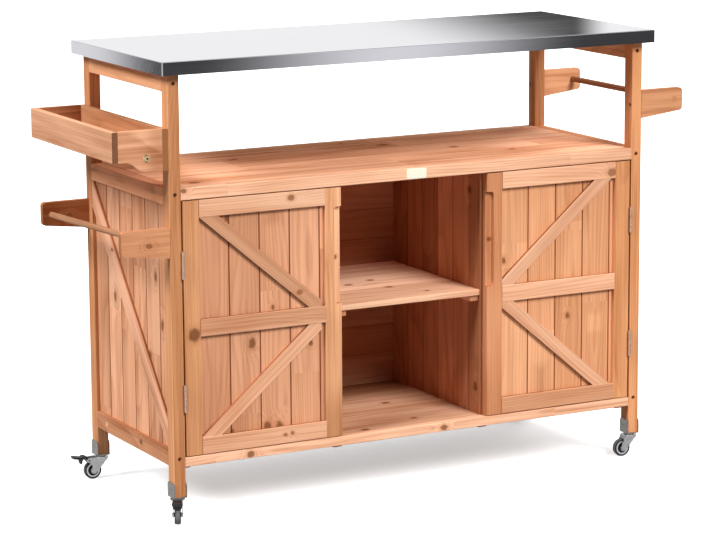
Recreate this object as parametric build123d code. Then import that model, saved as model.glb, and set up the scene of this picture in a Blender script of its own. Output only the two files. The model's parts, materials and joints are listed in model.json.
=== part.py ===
from build123d import *
import math
import os

os.makedirs("parts", exist_ok=True)

# Whole island, in millimetres. X runs along the front, Y from front to back, Z up from the floor.
total_height = 930.0
frame_length = 1104.0
frame_depth = 420.0
foot_height = 53.0
post_width = 25.0
post_depth = 29.0
edge_ease = 1.0

# Steel top and the board inside it
top_end_overhang = 19.0
top_front_overhang = 19.5
top_thickness = 27.0
top_sheet = 1.2
top_corner_radius = 2.0

# Worktop and floor
worktop_height = 677.0
worktop_rail_height = 24.0
floor_height = 132.5
floor_rail_height = 19.0
deck_rail_depth = 20.0
deck_board_thickness = 12.0
deck_board_count = 3
deck_board_pitch = 140.0
batten_width = 20.0
batten_height = 15.0
batten_setback = 2.0

# Side frames
upper_rail_height = 36.0
side_rail_height = 35.0
side_panel_recess = 8.0
side_plank_thickness = 10.0
side_plank_first = 60.0
side_plank_last = 44.0
side_plank_count = 6
side_groove_depth = 8.0
side_brace_thickness = 7.0
side_brace_end = 55.0

# Back boards
back_board_thickness = 9.0
back_board_count = 8
back_groove_depth = 6.0

# Middle bay: partitions, shelf and cleats
bay_half_width = 167.0
partition_thickness = 12.0
partition_setback = 2.0
partition_stile_width = 47.0
partition_plank_count = 5
shelf_height = 402.0
shelf_thickness = 12.0
shelf_setback = 4.0
cleat_width = 20.0
cleat_height = 12.0
cleat_setback = 10.0

# Doors
door_gap = 2.0
door_edge_back = 4.5
stile_width = 37.0
stile_thickness = 19.0
stile_setback = 1.0
stile_groove_depth = 8.0
door_rail_height = 35.0
door_rail_thickness = 9.0
door_plank_thickness = 9.0
door_last_plank = 9.5
door_plank_count = 5
door_brace_width = 27.0
door_brace_thickness = 8.0
door_brace_heel = 27.0
pull_length = 200.0
pull_width = 16.0
pull_depth = 8.0
pull_radius = 7.0
pull_above_middle = 119.25

# Hinges
hinge_length = 56.0
hinge_low_rise = 119.5
hinge_high_drop = 127.0
hinge_forward = 3.5
knuckle_radius = 3.2
knuckle_count = 5
knuckle_gap = 0.3
knuckle_clear = 3.7
leaf_thickness = 0.9
leaf_depth = 15.0
pin_radius = 1.5
running_fit = 0.05
leaf_screw_offset = 18.0

# Catches and strikes
catch_width = 14.0
catch_depth = 20.0
catch_height = 45.0
catch_drop = 95.0
strike_width = 16.0
strike_height = 40.0
strike_thickness = 1.0
catch_gap = 0.3

# Spice tray
tray_board = 12.5
tray_inside = 94.0
tray_gap_share = 0.5332
tray_inner_height = 83.0
tray_outer_height = 61.0
tray_end_thickness = 12.0
tray_bottom_thickness = 12.0
tray_end_flat = 12.5
tray_end_drop = 20.5
tray_end_shoulder = 33.5
tray_bolt_out = 47.0
tray_bolt_radius = 3.0
tray_bolt_length = 30.0
tray_bolt_head_radius = 6.5
tray_bolt_head_height = 5.0
tray_screw_drop = 37.5

# Towel bars
arm_length = 104.0
arm_root = 60.0
arm_tip = 48.0
arm_thickness = 13.0
arm_corner = 8.0
left_arm_drop = 77.0
right_arm_gap_share = 0.5443
rod_radius = 6.5
rod_out = 84.0
rod_drop_even = 24.5
rod_drop_rear = 27.0
rod_drop_front = 10.0
rod_stop = 4.0
arm_screw_drop = 30.0
arm_screw_sink = 3.0

# Screws
long_screw_length = 35.0
long_screw_radius = 2.0
long_head_radius = 3.8
long_head_height = 2.4
long_bore_radius = 4.2
post_screw_sink = 8.0
top_screw_sink = 15.0
top_screw_spacing = 180.0
top_rail_screw_drop = 12.0
short_screw_length = 12.0
short_screw_radius = 1.5
short_head_radius = 2.6
short_head_height = 0.9
screw_fit = 0.05
screw_tip_room = 0.5

# Casters
bracket_sheet = 1.5
bracket_base = 2.0
bracket_half_depth = 16.0
bracket_ear_top = 82.0
bracket_ear_radius = 6.0
bracket_screw_level = 68.0
race_radius = 11.0
race_height = 3.2
kingpin_radius = 4.0
kingpin_head_radius = 6.5
kingpin_head_height = 1.5
swivel_gap = 0.3
fork_plate = 2.5
fork_plate_radius = 15.0
fork_sheet = 2.0
wheel_radius = 19.0
wheel_width = 14.0
wheel_edge = 3.0
wheel_trail = 20.0
wheel_side_gap = 0.3
hub_radius = 6.0
hub_width = 15.8
wheel_dish_radius = 13.0
wheel_dish_depth = 2.0
axle_radius = 2.5
axle_head_radius = 4.0
axle_head_height = 1.2
axle_boss_radius = 7.0
pedal_pivot_back = 31.0
pedal_pivot_height = 42.0
pedal_pin_radius = 1.8
pedal_hub_radius = 4.5
pedal_lug_radius = 4.5
pedal_nose_radius = 2.2
pedal_nose_reach = 3.8
pedal_reach = 66.0
pedal_rise = 14.0
pedal_lever_half = 6.0
pedal_tread_half = 10.0
pedal_tread_start = 47.0
pedal_thickness = 4.5
pedal_corner = 3.0
front_left_swing = 65.0

# Positions that follow from the sizes above
half_length = frame_length / 2
half_depth = frame_depth / 2
post_in_x = half_length - post_width
post_in_y = half_depth - post_depth
post_mid_x = half_length - post_width / 2
post_mid_y = half_depth - post_depth / 2
top_length = frame_length + 2 * top_end_overhang
top_depth = frame_depth + 2 * top_front_overhang
top_under = total_height - top_thickness
open_gap = top_under - worktop_height
worktop_under = worktop_height - worktop_rail_height
worktop_board_under = worktop_height - deck_board_thickness
floor_under = floor_height - floor_rail_height
floor_board_under = floor_height - deck_board_thickness
deck_in = half_depth - deck_rail_depth
upper_rail_under = top_under - upper_rail_height
side_top_under = worktop_height - side_rail_height
side_bottom_top = floor_under + side_rail_height
side_face = half_length - side_panel_recess
side_plank_run = 2 * post_in_y - side_plank_first - side_plank_last
side_plank_pitch = side_plank_run / (side_plank_count - 2)
partition_plank_run = 2 * deck_in - partition_setback - partition_stile_width
partition_plank_pitch = partition_plank_run / partition_plank_count
shelf_under = shelf_height - shelf_thickness
door_hinge_edge = post_in_x - door_gap
door_free_edge = bay_half_width + door_edge_back
door_bottom = floor_height + door_gap
door_top = worktop_under - door_gap
door_middle = (door_bottom + door_top) / 2
door_plank_face = half_depth - door_rail_thickness
stile_face = half_depth - stile_setback
stile_back = stile_face - stile_thickness
panel_width = door_hinge_edge - door_free_edge - 2 * stile_width
door_plank_pitch = (panel_width - door_last_plank) / (door_plank_count - 1)
pull_height = door_middle + pull_above_middle
hinge_heights = (door_bottom + hinge_low_rise, door_top - hinge_high_drop)
catch_level = worktop_height - catch_drop
hinge_x = post_in_x - door_gap / 2
hinge_y = half_depth + hinge_forward
knuckle_length = hinge_length / knuckle_count
tray_inner_x = half_length + tray_board
tray_outer_x = tray_inner_x + tray_inside
tray_far_x = tray_outer_x + tray_board
tray_top = worktop_height + tray_gap_share * open_gap
tray_inner_under = tray_top - tray_inner_height
tray_outer_under = tray_top - tray_outer_height
left_arm_top = worktop_height - left_arm_drop
right_arm_top = worktop_height + right_arm_gap_share * open_gap
arm_far_x = half_length + arm_length
rod_x = half_length + rod_out
bracket_under = foot_height - bracket_base
fork_top = bracket_under - race_height - swivel_gap
fork_under = fork_top - fork_plate
fork_inner = hub_width / 2 + wheel_side_gap
fork_outer = fork_inner + fork_sheet

# The frame's origin is on the floor under the middle of the whole outline
swing = math.radians(front_left_swing)
pedal_front = (
    (pedal_reach - pedal_corner) * math.sin(swing)
    + (pedal_tread_half - pedal_corner) * math.cos(swing)
    + pedal_corner
)
origin_shift_x = (tray_far_x - arm_far_x) / 2
origin_shift_y = (post_mid_y + pedal_front - top_depth / 2) / 2
to_origin = Pos(origin_shift_x, origin_shift_y, 0)


def block(x0, x1, y0, y1, z0, z1):
    return Pos(min(x0, x1), min(y0, y1), min(z0, z1)) * Box(
        abs(x1 - x0), abs(y1 - y0), abs(z1 - z0), align=(Align.MIN, Align.MIN, Align.MIN)
    )


def timber(x0, x1, y0, y1, z0, z1, axis):
    # A sawn board with its long edges eased
    board = block(x0, x1, y0, y1, z0, z1)
    return chamfer(board.edges().filter_by(axis), edge_ease)


def round_bar(start, end, radius):
    direction = Vector(*end) - Vector(*start)
    bar = Cylinder(radius, direction.length, align=(Align.CENTER, Align.CENTER, Align.MIN))
    return Plane(origin=start, z_dir=direction) * bar


def mirror_x(shape):
    return mirror(shape, about=Plane.YZ)


def front_plate(outline, y_back, thickness):
    # A flat outline drawn in X and Z, with its back at y_back, growing towards the front
    face = Plane(origin=(0, y_back, 0), x_dir=(1, 0, 0), z_dir=(0, -1, 0)) * outline
    return extrude(face, thickness)


def save(name, *shapes):
    placed = [to_origin * shape for shape in shapes]
    solids = [solid for shape in placed for solid in shape.solids()]
    whole = solids[0] if len(solids) == 1 else Compound(children=solids)
    export_step(whole, "parts/" + name + ".step")


def long_screw(point, direction, sink):
    base = Cylinder(long_head_radius, long_head_height, align=(Align.CENTER, Align.CENTER, Align.MIN))
    shank = Cylinder(long_screw_radius, long_screw_length, align=(Align.CENTER, Align.CENTER, Align.MIN))
    return Plane(origin=point, z_dir=direction) * (Pos(0, 0, sink) * (base + shank))


def long_screw_hole(point, direction, sink):
    mouth_start = -sink - long_head_height
    mouth = Cylinder(
        long_bore_radius, sink + long_head_height - mouth_start, align=(Align.CENTER, Align.CENTER, Align.MIN)
    )
    depth = sink + long_screw_length + screw_tip_room
    shank = Cylinder(long_screw_radius + screw_fit, depth, align=(Align.CENTER, Align.CENTER, Align.MIN))
    return Plane(origin=point, z_dir=direction) * (Pos(0, 0, mouth_start) * mouth + shank)


def short_screw(point, direction):
    head = Cone(
        short_head_radius,
        short_screw_radius,
        short_head_height,
        align=(Align.CENTER, Align.CENTER, Align.MIN),
    )
    shank = Cylinder(short_screw_radius, short_screw_length, align=(Align.CENTER, Align.CENTER, Align.MIN))
    return Plane(origin=point, z_dir=direction) * (head + shank)


def short_screw_hole(point, direction):
    head = Cone(
        short_head_radius + screw_fit,
        short_screw_radius + screw_fit,
        short_head_height,
        align=(Align.CENTER, Align.CENTER, Align.MIN),
    )
    depth = short_screw_length + screw_tip_room
    shank = Cylinder(short_screw_radius + screw_fit, depth, align=(Align.CENTER, Align.CENTER, Align.MIN))
    return Plane(origin=point, z_dir=direction) * (head + shank)


# Where the long screws go: through the posts into the side rails, up into the top, tray and towel arms
rail_screw_levels = (
    top_under - upper_rail_height / 2,
    worktop_height - top_rail_screw_drop,
    floor_under + side_rail_height / 2,
)
long_screw_places = []
for side in (-1, 1):
    for level in rail_screw_levels:
        long_screw_places.append(((side * post_mid_x, -half_depth, level), (0, 1, 0), post_screw_sink))
        long_screw_places.append(((side * post_mid_x, half_depth, level), (0, -1, 0), post_screw_sink))
    for end in (-1, 1):
        place = (side * post_mid_x, end * top_screw_spacing / 2, upper_rail_under)
        long_screw_places.append((place, (0, 0, 1), top_screw_sink))
        arm_top = left_arm_top if side < 0 else right_arm_top
        arm_middle = end * (half_depth - arm_thickness / 2)
        place = (side * post_in_x, arm_middle, arm_top - arm_screw_drop)
        long_screw_places.append((place, (side, 0, 0), arm_screw_sink))
for end in (-1, 1):
    place = (-tray_inner_x, end * post_mid_y, tray_top - tray_screw_drop)
    long_screw_places.append((place, (1, 0, 0), 0))

# Where the short screws go: the caster brackets' ears and the hinge leaves
bracket_screw_places = []
for side in (-1, 1):
    for end in (-1, 1):
        for ear in (-1, 1):
            ear_x = side * post_mid_x + ear * (post_width / 2 + bracket_sheet)
            place = (ear_x, end * post_mid_y, bracket_screw_level)
            bracket_screw_places.append((place, (-ear, 0, 0)))
leaf_screw_y = -(half_depth - leaf_depth / 2)
post_leaf_places = []
door_leaf_places = {-1: [], 1: []}
for side in (-1, 1):
    for hinge_level in hinge_heights:
        for offset in (-leaf_screw_offset, leaf_screw_offset):
            level = hinge_level + offset
            post_point = (side * (post_in_x - leaf_thickness), leaf_screw_y, level)
            post_leaf_places.append((post_point, (side, 0, 0)))
            door_point = (side * (door_hinge_edge + leaf_thickness), leaf_screw_y, level)
            door_leaf_places[side].append((door_point, (-side, 0, 0)))
short_screw_places = bracket_screw_places + post_leaf_places


def near(place, low, high):
    return all(low[i] - 20 <= place[i] <= high[i] + 20 for i in range(3))


def drill_long(shape):
    # Drills every long screw that starts at or near this piece
    box = shape.bounding_box()
    low = tuple(box.min)
    high = tuple(box.max)
    for point, direction, sink in long_screw_places:
        reach = long_screw_length + sink
        end = tuple(point[i] + direction[i] * reach for i in range(3))
        if near(point, low, high) or near(end, low, high):
            shape = shape - long_screw_hole(point, direction, sink)
    return shape


def drill_short(shape, places):
    box = shape.bounding_box()
    low = tuple(box.min)
    high = tuple(box.max)
    for point, direction in places:
        if near(point, low, high):
            shape = shape - short_screw_hole(point, direction)
    return shape


def post(side, end):
    shape = timber(
        side * post_in_x,
        side * half_length,
        end * post_in_y,
        end * half_depth,
        foot_height,
        top_under,
        Axis.Z,
    )
    if end > 0:
        groove_out = deck_in + back_board_thickness
        groove_x = side * (post_in_x + back_groove_depth)
        shape = shape - block(
            side * (post_in_x - edge_ease), groove_x, deck_in, groove_out, floor_height, worktop_under
        )
    return drill_short(drill_long(shape), short_screw_places)


def steel_top():
    half_x = top_length / 2
    half_y = top_depth / 2
    slab = block(-half_x, half_x, -half_y, half_y, top_under, total_height)
    slab = fillet(slab.edges().filter_by(Axis.Z), top_corner_radius)
    slab = fillet(slab.faces().sort_by(Axis.Z)[-1].edges(), top_sheet)
    return slab - top_core_blank()


def top_core_blank():
    half_x = top_length / 2 - top_sheet
    half_y = top_depth / 2 - top_sheet
    return block(-half_x, half_x, -half_y, half_y, top_under, total_height - top_sheet)


def upper_rail(side):
    rail = timber(
        side * post_in_x, side * half_length, -post_in_y, post_in_y, upper_rail_under, top_under, Axis.Y
    )
    return drill_long(rail)


def side_rail(side, low, groove_low, groove_high):
    rail = timber(
        side * post_in_x, side * half_length, -post_in_y, post_in_y, low, low + side_rail_height, Axis.Y
    )
    inner = side * (side_face - side_plank_thickness)
    rail = rail - block(inner, side * side_face, -post_in_y, post_in_y, groove_low, groove_high)
    return drill_long(rail)


def side_top_rail(side):
    return side_rail(side, side_top_under, side_top_under - edge_ease, side_top_under + side_groove_depth)


def side_bottom_rail(side):
    return side_rail(side, floor_under, side_bottom_top - side_groove_depth, side_bottom_top + edge_ease)


def side_planks(side):
    low = side_bottom_top - side_groove_depth
    high = side_top_under + side_groove_depth
    inner = side * (side_face - side_plank_thickness)
    planks = []
    back = post_in_y
    for index in range(side_plank_count):
        front = post_in_y - side_plank_first - index * side_plank_pitch
        if index == side_plank_count - 1:
            front = -post_in_y
        planks.append(timber(inner, side * side_face, front, back, low, high, Axis.Z))
        back = front
    return planks


def side_brace(side):
    low = side_bottom_top
    high = side_top_under
    corners = [
        (-post_in_y, high),
        (-post_in_y, high - side_brace_end),
        (post_in_y, low),
        (post_in_y, low + side_brace_end),
    ]
    outline = make_face(Polyline(*corners, close=True))
    plane = Plane(origin=(-side_face, 0, 0), x_dir=(0, -1, 0), z_dir=(-1, 0, 0))
    brace = extrude(plane * outline, side_brace_thickness)
    return brace if side < 0 else mirror_x(brace)


def deck_rail(end, low, high):
    return timber(-post_in_x, post_in_x, end * deck_in, end * half_depth, low, high, Axis.X)


def deck_boards(low, high, half_x, front, back):
    boards = []
    seams = [front, -deck_board_pitch / 2, deck_board_pitch / 2, back]
    for index in range(deck_board_count):
        boards.append(timber(-half_x, half_x, seams[index], seams[index + 1], low, high, Axis.X))
    return boards


def deck_batten(x, top):
    half_y = deck_in - batten_setback
    return block(x, x + batten_width, -half_y, half_y, top - batten_height, top)


def deck_battens():
    end = post_in_x - batten_width
    under_partition = bay_half_width + (partition_thickness - batten_width) / 2
    battens = [deck_batten(x, floor_board_under) for x in (-post_in_x, end)]
    battens.append(deck_batten(under_partition, floor_board_under))
    battens.append(deck_batten(-under_partition - batten_width, floor_board_under))
    battens.extend(deck_batten(x, worktop_board_under) for x in (-post_in_x, end))
    return battens


def back_boards():
    half_x = post_in_x + back_groove_depth
    pitch = (worktop_under - floor_height) / back_board_count
    boards = []
    for index in range(back_board_count):
        low = floor_height + index * pitch
        boards.append(
            timber(-half_x, half_x, deck_in, deck_in + back_board_thickness, low, low + pitch, Axis.X)
        )
    return boards


def partition(side):
    inner = side * bay_half_width
    outer = side * (bay_half_width + partition_thickness)
    front = -(deck_in - partition_setback)
    seam = front + partition_stile_width
    pieces = [timber(inner, outer, front, seam, floor_height, worktop_board_under, Axis.Z)]
    for index in range(partition_plank_count):
        next_seam = deck_in if index == partition_plank_count - 1 else seam + partition_plank_pitch
        pieces.append(timber(inner, outer, seam, next_seam, floor_height, worktop_board_under, Axis.Z))
        seam = next_seam
    return pieces


def shelf_cleat(side):
    inner = side * (bay_half_width - cleat_width)
    half_y = deck_in - cleat_setback
    return block(inner, side * bay_half_width, -half_y, half_y, shelf_under - cleat_height, shelf_under)


def door_panel_left(side):
    # X of the panel's left edge, seen from the front
    return -door_hinge_edge + stile_width if side < 0 else door_free_edge + stile_width


def hinge_stile(side):
    inner = side * (door_hinge_edge - stile_width)
    stile = timber(
        side * door_hinge_edge, inner, -stile_face, -stile_back, door_bottom, door_top, Axis.Z
    )
    groove = side * (door_hinge_edge - stile_width + stile_groove_depth)
    plank_back = -(door_plank_face - door_plank_thickness)
    stile = stile - block(
        inner - side * edge_ease, groove, -door_plank_face, plank_back, door_bottom, door_top
    )
    return drill_short(stile, door_leaf_places[side])


def pull_stile(side):
    inner = side * (door_free_edge + stile_width)
    free = side * door_free_edge
    stile = timber(free, inner, -stile_face, -stile_back, door_bottom, door_top, Axis.Z)
    groove = side * (door_free_edge + stile_width - stile_groove_depth)
    plank_back = -(door_plank_face - door_plank_thickness)
    stile = stile - block(
        inner + side * edge_ease, groove, -door_plank_face, plank_back, door_bottom, door_top
    )
    return stile - finger_pull(side)


def finger_pull(side):
    low = pull_height - pull_length / 2
    high = pull_height + pull_length / 2
    inside = door_free_edge + pull_width
    cutter = block(
        side * (door_free_edge - edge_ease),
        side * inside,
        -stile_face - edge_ease,
        -stile_face + pull_depth,
        low,
        high,
    )
    far_edges = [
        edge for edge in cutter.edges().filter_by(Axis.Y) if abs(abs(edge.center().X) - inside) < edge_ease
    ]
    return fillet(far_edges, pull_radius)


def door_rails(side):
    left = door_panel_left(side)
    right = left + panel_width
    lows = (door_bottom, door_middle - door_rail_height / 2, door_top - door_rail_height)
    return [
        timber(left, right, -half_depth, -door_plank_face, low, low + door_rail_height, Axis.X)
        for low in lows
    ]


def door_planks(side):
    left = door_panel_left(side)
    seam = left - stile_groove_depth
    planks = []
    for index in range(door_plank_count):
        next_seam = left + (index + 1) * door_plank_pitch
        if index == door_plank_count - 1:
            next_seam = left + panel_width + stile_groove_depth
        back = -(door_plank_face - door_plank_thickness)
        planks.append(timber(seam, next_seam, -door_plank_face, back, door_bottom, door_top, Axis.Z))
        seam = next_seam
    return planks


def door_brace(side, upper):
    # A band from the hinge side's outer corner to the free end of the middle rail, cut to the panel
    width = (door_plank_count - 1) * door_plank_pitch
    low = door_middle + door_rail_height / 2
    height = door_top - door_rail_height - low
    run = Vector(width - door_brace_heel, -height).normalized()
    across = Vector(-run.Y, run.X) * door_brace_width
    reach = run * (width + height)
    corner = Vector(0, height)
    points = [corner - reach, corner + reach, corner + reach + across, corner - reach + across]
    band = make_face(Polyline(*[(point.X, point.Y) for point in points], close=True))
    window = Pos(width / 2, height / 2) * Rectangle(width, height)
    outline = Pos(0, low) * (band & window)
    brace = front_plate(outline, -door_plank_face, door_brace_thickness)
    if side > 0:
        brace = mirror_x(Pos(-width, 0, 0) * brace)
    brace = Pos(door_panel_left(side), 0, 0) * brace
    if upper:
        return brace
    return mirror(brace, about=Plane.XY.offset(door_middle))


def knuckle_block(side, level, index):
    # One knuckle of a hinge, counted from the bottom
    low = level - hinge_length / 2 + index * knuckle_length + knuckle_gap / 2
    return round_bar(
        (side * hinge_x, -hinge_y, low),
        (side * hinge_x, -hinge_y, low + knuckle_length - knuckle_gap),
        knuckle_radius,
    )


def hinge_leaf(side, level, face_from, face_to, knuckles, places):
    low = level - hinge_length / 2
    front = -(hinge_y - knuckle_clear)
    leaf = block(face_from, face_to, front, front + leaf_depth, low, low + hinge_length)
    for index in knuckles:
        start = low + index * knuckle_length + knuckle_gap / 2
        tongue = block(
            face_from,
            face_to,
            -hinge_y + pin_radius,
            front,
            start,
            start + knuckle_length - knuckle_gap,
        )
        leaf = leaf + tongue + knuckle_block(side, level, index)
    bore_low = (side * hinge_x, -hinge_y, low - knuckle_gap)
    bore_high = (side * hinge_x, -hinge_y, low + hinge_length + knuckle_gap)
    leaf = leaf - round_bar(bore_low, bore_high, pin_radius + running_fit)
    return drill_short(leaf, places)


def post_leaf(side, level):
    knuckles = range(0, knuckle_count, 2)
    face_to = side * (post_in_x - leaf_thickness)
    return hinge_leaf(side, level, side * post_in_x, face_to, knuckles, post_leaf_places)


def door_leaf(side, level):
    knuckles = range(1, knuckle_count, 2)
    face_to = side * (door_hinge_edge + leaf_thickness)
    return hinge_leaf(side, level, side * door_hinge_edge, face_to, knuckles, door_leaf_places[side])


def hinge_pin(side, level):
    low = level - hinge_length / 2
    return round_bar(
        (side * hinge_x, -hinge_y, low), (side * hinge_x, -hinge_y, low + hinge_length), pin_radius
    )


def strike(side):
    middle = side * (bay_half_width + partition_thickness + catch_width / 2)
    return block(
        middle - strike_width / 2,
        middle + strike_width / 2,
        -stile_back,
        -stile_back + strike_thickness,
        catch_level - strike_height / 2,
        catch_level + strike_height / 2,
    )


def door_catch(side):
    inner = side * (bay_half_width + partition_thickness)
    front = -stile_back + strike_thickness + catch_gap
    return block(
        inner,
        inner + side * catch_width,
        front,
        front + catch_depth,
        catch_level - catch_height / 2,
        catch_level + catch_height / 2,
    )


def tray_inner_board():
    board = timber(
        -tray_inner_x, -half_length, -half_depth, half_depth, tray_inner_under, tray_top, Axis.Y
    )
    return drill_long(board)


def tray_outer_board():
    return timber(-tray_far_x, -tray_outer_x, -half_depth, half_depth, tray_outer_under, tray_top, Axis.Y)


def tray_bolt_place(end):
    level = tray_outer_under + tray_bottom_thickness / 2
    return (-(half_length + tray_bolt_out), end * half_depth, level)


def tray_bolt_hole(end):
    x, y, z = tray_bolt_place(end)
    inside = y - end * (tray_bolt_length + screw_tip_room)
    return round_bar((x, y + end, z), (x, inside, z), tray_bolt_radius + screw_fit)


def tray_end(end):
    low = tray_outer_under - tray_end_drop
    flat_x = -tray_outer_x + tray_end_flat
    shoulder_x = -tray_inner_x - tray_end_shoulder
    curve = Spline(
        (flat_x, tray_outer_under), (shoulder_x, low), tangents=[(1, 0), (1, 0)]
    )
    edge = Polyline(
        (shoulder_x, low),
        (-tray_inner_x, low),
        (-tray_inner_x, tray_top),
        (-tray_outer_x, tray_top),
        (-tray_outer_x, tray_outer_under),
        (flat_x, tray_outer_under),
    )
    outline = make_face([curve] + edge.edges())
    back = -half_depth + tray_end_thickness if end < 0 else half_depth
    return front_plate(outline, back, tray_end_thickness) - tray_bolt_hole(end)


def tray_bottom():
    half_y = half_depth - tray_end_thickness
    low = tray_outer_under
    board = block(-tray_outer_x, -tray_inner_x, -half_y, half_y, low, low + tray_bottom_thickness)
    for end in (-1, 1):
        board = board - tray_bolt_hole(end)
    return board


def tray_bolt(end):
    x, y, z = tray_bolt_place(end)
    shank = round_bar((x, y, z), (x, y - end * tray_bolt_length, z), tray_bolt_radius)
    head = round_bar((x, y, z), (x, y + end * tray_bolt_head_height, z), tray_bolt_head_radius)
    rim = head.edges().filter_by(GeomType.CIRCLE).sort_by(Axis.Y)[0 if end < 0 else -1]
    return shank + fillet(rim, tray_bolt_head_height * 0.8)


def rod_line(side):
    # The left rod runs a little downhill to the back and stops inside its arms
    if side < 0:
        reach = half_depth - rod_stop
        front = (-rod_x, -reach, left_arm_top - rod_drop_front)
        return front, (-rod_x, reach, left_arm_top - rod_drop_rear)
    level = right_arm_top - rod_drop_even
    return (rod_x, -half_depth, level), (rod_x, half_depth, level)


def towel_rod(side):
    start, end = rod_line(side)
    return round_bar(start, end, rod_radius)


def towel_arm(side, end):
    top = left_arm_top if side < 0 else right_arm_top
    outline = make_face(
        Polyline(
            (half_length, top),
            (arm_far_x, top),
            (arm_far_x, top - arm_tip),
            (half_length, top - arm_root),
            close=True,
        )
    )
    outline = fillet(outline.vertices().group_by(Axis.X)[-1], arm_corner)
    back = -half_depth + arm_thickness if end < 0 else half_depth
    arm = front_plate(outline, back, arm_thickness)
    if side < 0:
        arm = mirror_x(arm)
    start, finish = rod_line(side)
    return drill_long(arm - round_bar(start, finish, rod_radius + screw_fit))


def caster_bracket():
    # A bent strap around the post's foot, with the ball race and the kingpin below it
    half_x = post_width / 2 + bracket_sheet
    ears = []
    for ear in (-1, 1):
        plate = block(
            ear * post_width / 2,
            ear * half_x,
            -bracket_half_depth,
            bracket_half_depth,
            bracket_under,
            bracket_ear_top,
        )
        corners = plate.edges().filter_by(Axis.X).group_by(Axis.Z)[-1]
        ears.append(fillet(corners, bracket_ear_radius))
    base = block(-half_x, half_x, -bracket_half_depth, bracket_half_depth, bracket_under, foot_height)
    head_top = fork_under - swivel_gap
    race = round_bar((0, 0, bracket_under - race_height), (0, 0, bracket_under), race_radius)
    pin = round_bar((0, 0, head_top), (0, 0, bracket_under), kingpin_radius)
    head = round_bar((0, 0, head_top - kingpin_head_height), (0, 0, head_top), kingpin_head_radius)
    return base + ears[0] + ears[1] + race + pin + head


def fork(braked):
    plate = round_bar((0, 0, fork_under), (0, 0, fork_top), fork_plate_radius)
    plate = plate + block(-fork_plate_radius, 0, -fork_outer, fork_outer, fork_under, fork_top)
    leg_outline = make_face(
        Polyline(
            (fork_plate_radius * 0.8, fork_top),
            (fork_plate_radius * 0.8, fork_under - fork_plate),
            (-wheel_trail + axle_boss_radius, wheel_radius - axle_boss_radius / 2),
            (-wheel_trail - axle_boss_radius, wheel_radius),
            (-fork_plate_radius, fork_top),
            close=True,
        )
    )
    boss = Pos(-wheel_trail, wheel_radius) * Circle(axle_boss_radius)
    leg_outline = leg_outline + boss
    if braked:
        lug = Pos(-pedal_pivot_back, pedal_pivot_height) * Circle(pedal_lug_radius)
        arm = make_face(
            Polyline(
                (0, fork_top),
                (-pedal_pivot_back, pedal_pivot_height + pedal_lug_radius),
                (-pedal_pivot_back, pedal_pivot_height - pedal_lug_radius),
                (-wheel_trail, wheel_radius + axle_boss_radius),
                close=True,
            )
        )
        leg_outline = leg_outline + arm + lug
    near_leg = front_plate(leg_outline, -fork_inner, fork_sheet)
    far_leg = front_plate(leg_outline, fork_outer, fork_sheet)
    shape = plate + near_leg + far_leg
    shape = shape - round_bar((0, 0, fork_under - 1), (0, 0, fork_top + 1), kingpin_radius + running_fit)
    shape = shape - across_bar(-wheel_trail, wheel_radius, fork_outer + 1, axle_radius + screw_fit)
    if braked:
        pivot = across_bar(-pedal_pivot_back, pedal_pivot_height, fork_outer + 1, pedal_pin_radius + running_fit)
        shape = shape - pivot
    return shape


def across_bar(x, z, half_width, radius):
    return round_bar((x, -half_width, z), (x, half_width, z), radius)


def axle():
    bar = across_bar(-wheel_trail, wheel_radius, fork_outer, axle_radius)
    for end in (-1, 1):
        start = (-wheel_trail, end * fork_outer, wheel_radius)
        finish = (-wheel_trail, end * (fork_outer + axle_head_height), wheel_radius)
        bar = bar + round_bar(start, finish, axle_head_radius)
    return bar


def wheel():
    tyre = across_bar(-wheel_trail, wheel_radius, wheel_width / 2, wheel_radius)
    tyre = fillet(tyre.edges().filter_by(GeomType.CIRCLE), wheel_edge)
    for end in (-1, 1):
        outer = (-wheel_trail, end * wheel_width / 2, wheel_radius)
        inner = (-wheel_trail, end * (wheel_width / 2 - wheel_dish_depth), wheel_radius)
        tyre = tyre - round_bar(inner, outer, wheel_dish_radius)
    hub = across_bar(-wheel_trail, wheel_radius, hub_width / 2, hub_radius)
    bore = across_bar(-wheel_trail, wheel_radius, hub_width, axle_radius + running_fit)
    return tyre + hub - bore


def pedal():
    hub = across_bar(-pedal_pivot_back, pedal_pivot_height, hub_width / 2, pedal_hub_radius)
    pins = across_bar(-pedal_pivot_back, pedal_pivot_height, fork_outer, pedal_pin_radius)
    nose_level = pedal_pivot_height - pedal_nose_reach
    nose = across_bar(-pedal_pivot_back, nose_level, pedal_lever_half, pedal_nose_radius)
    half = pedal_thickness / 2
    tip_level = pedal_pivot_height + pedal_rise
    side_view = make_face(
        Polyline(
            (-pedal_pivot_back, pedal_pivot_height - half),
            (-pedal_reach, tip_level - half),
            (-pedal_reach, tip_level + half),
            (-pedal_pivot_back, pedal_pivot_height + half),
            close=True,
        )
    )
    slab = front_plate(side_view, pedal_tread_half, 2 * pedal_tread_half)
    lever = block(-pedal_tread_start, 0, -pedal_lever_half, pedal_lever_half, 0, total_height)
    tread = block(-pedal_reach, -pedal_tread_start, -pedal_tread_half, pedal_tread_half, 0, total_height)
    tip_edges = tread.edges().filter_by(Axis.Z).group_by(Axis.X)[0]
    tread = fillet(tip_edges, pedal_corner)
    return (slab & (lever + tread)) + hub + pins + nose


caster_places = {
    "front_left": (-1, -1, front_left_swing, True),
    "rear_left": (-1, 1, 0, True),
    "front_right": (1, -1, 0, False),
    "rear_right": (1, 1, 0, False),
}


def at_caster(name, shape):
    side, end, turn, braked = caster_places[name]
    return Pos(side * post_mid_x, end * post_mid_y, 0) * Rot(0, 0, turn) * shape


save("post_front_left", post(-1, -1))
save("post_front_right", post(1, -1))
save("post_rear_left", post(-1, 1))
save("post_rear_right", post(1, 1))

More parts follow.
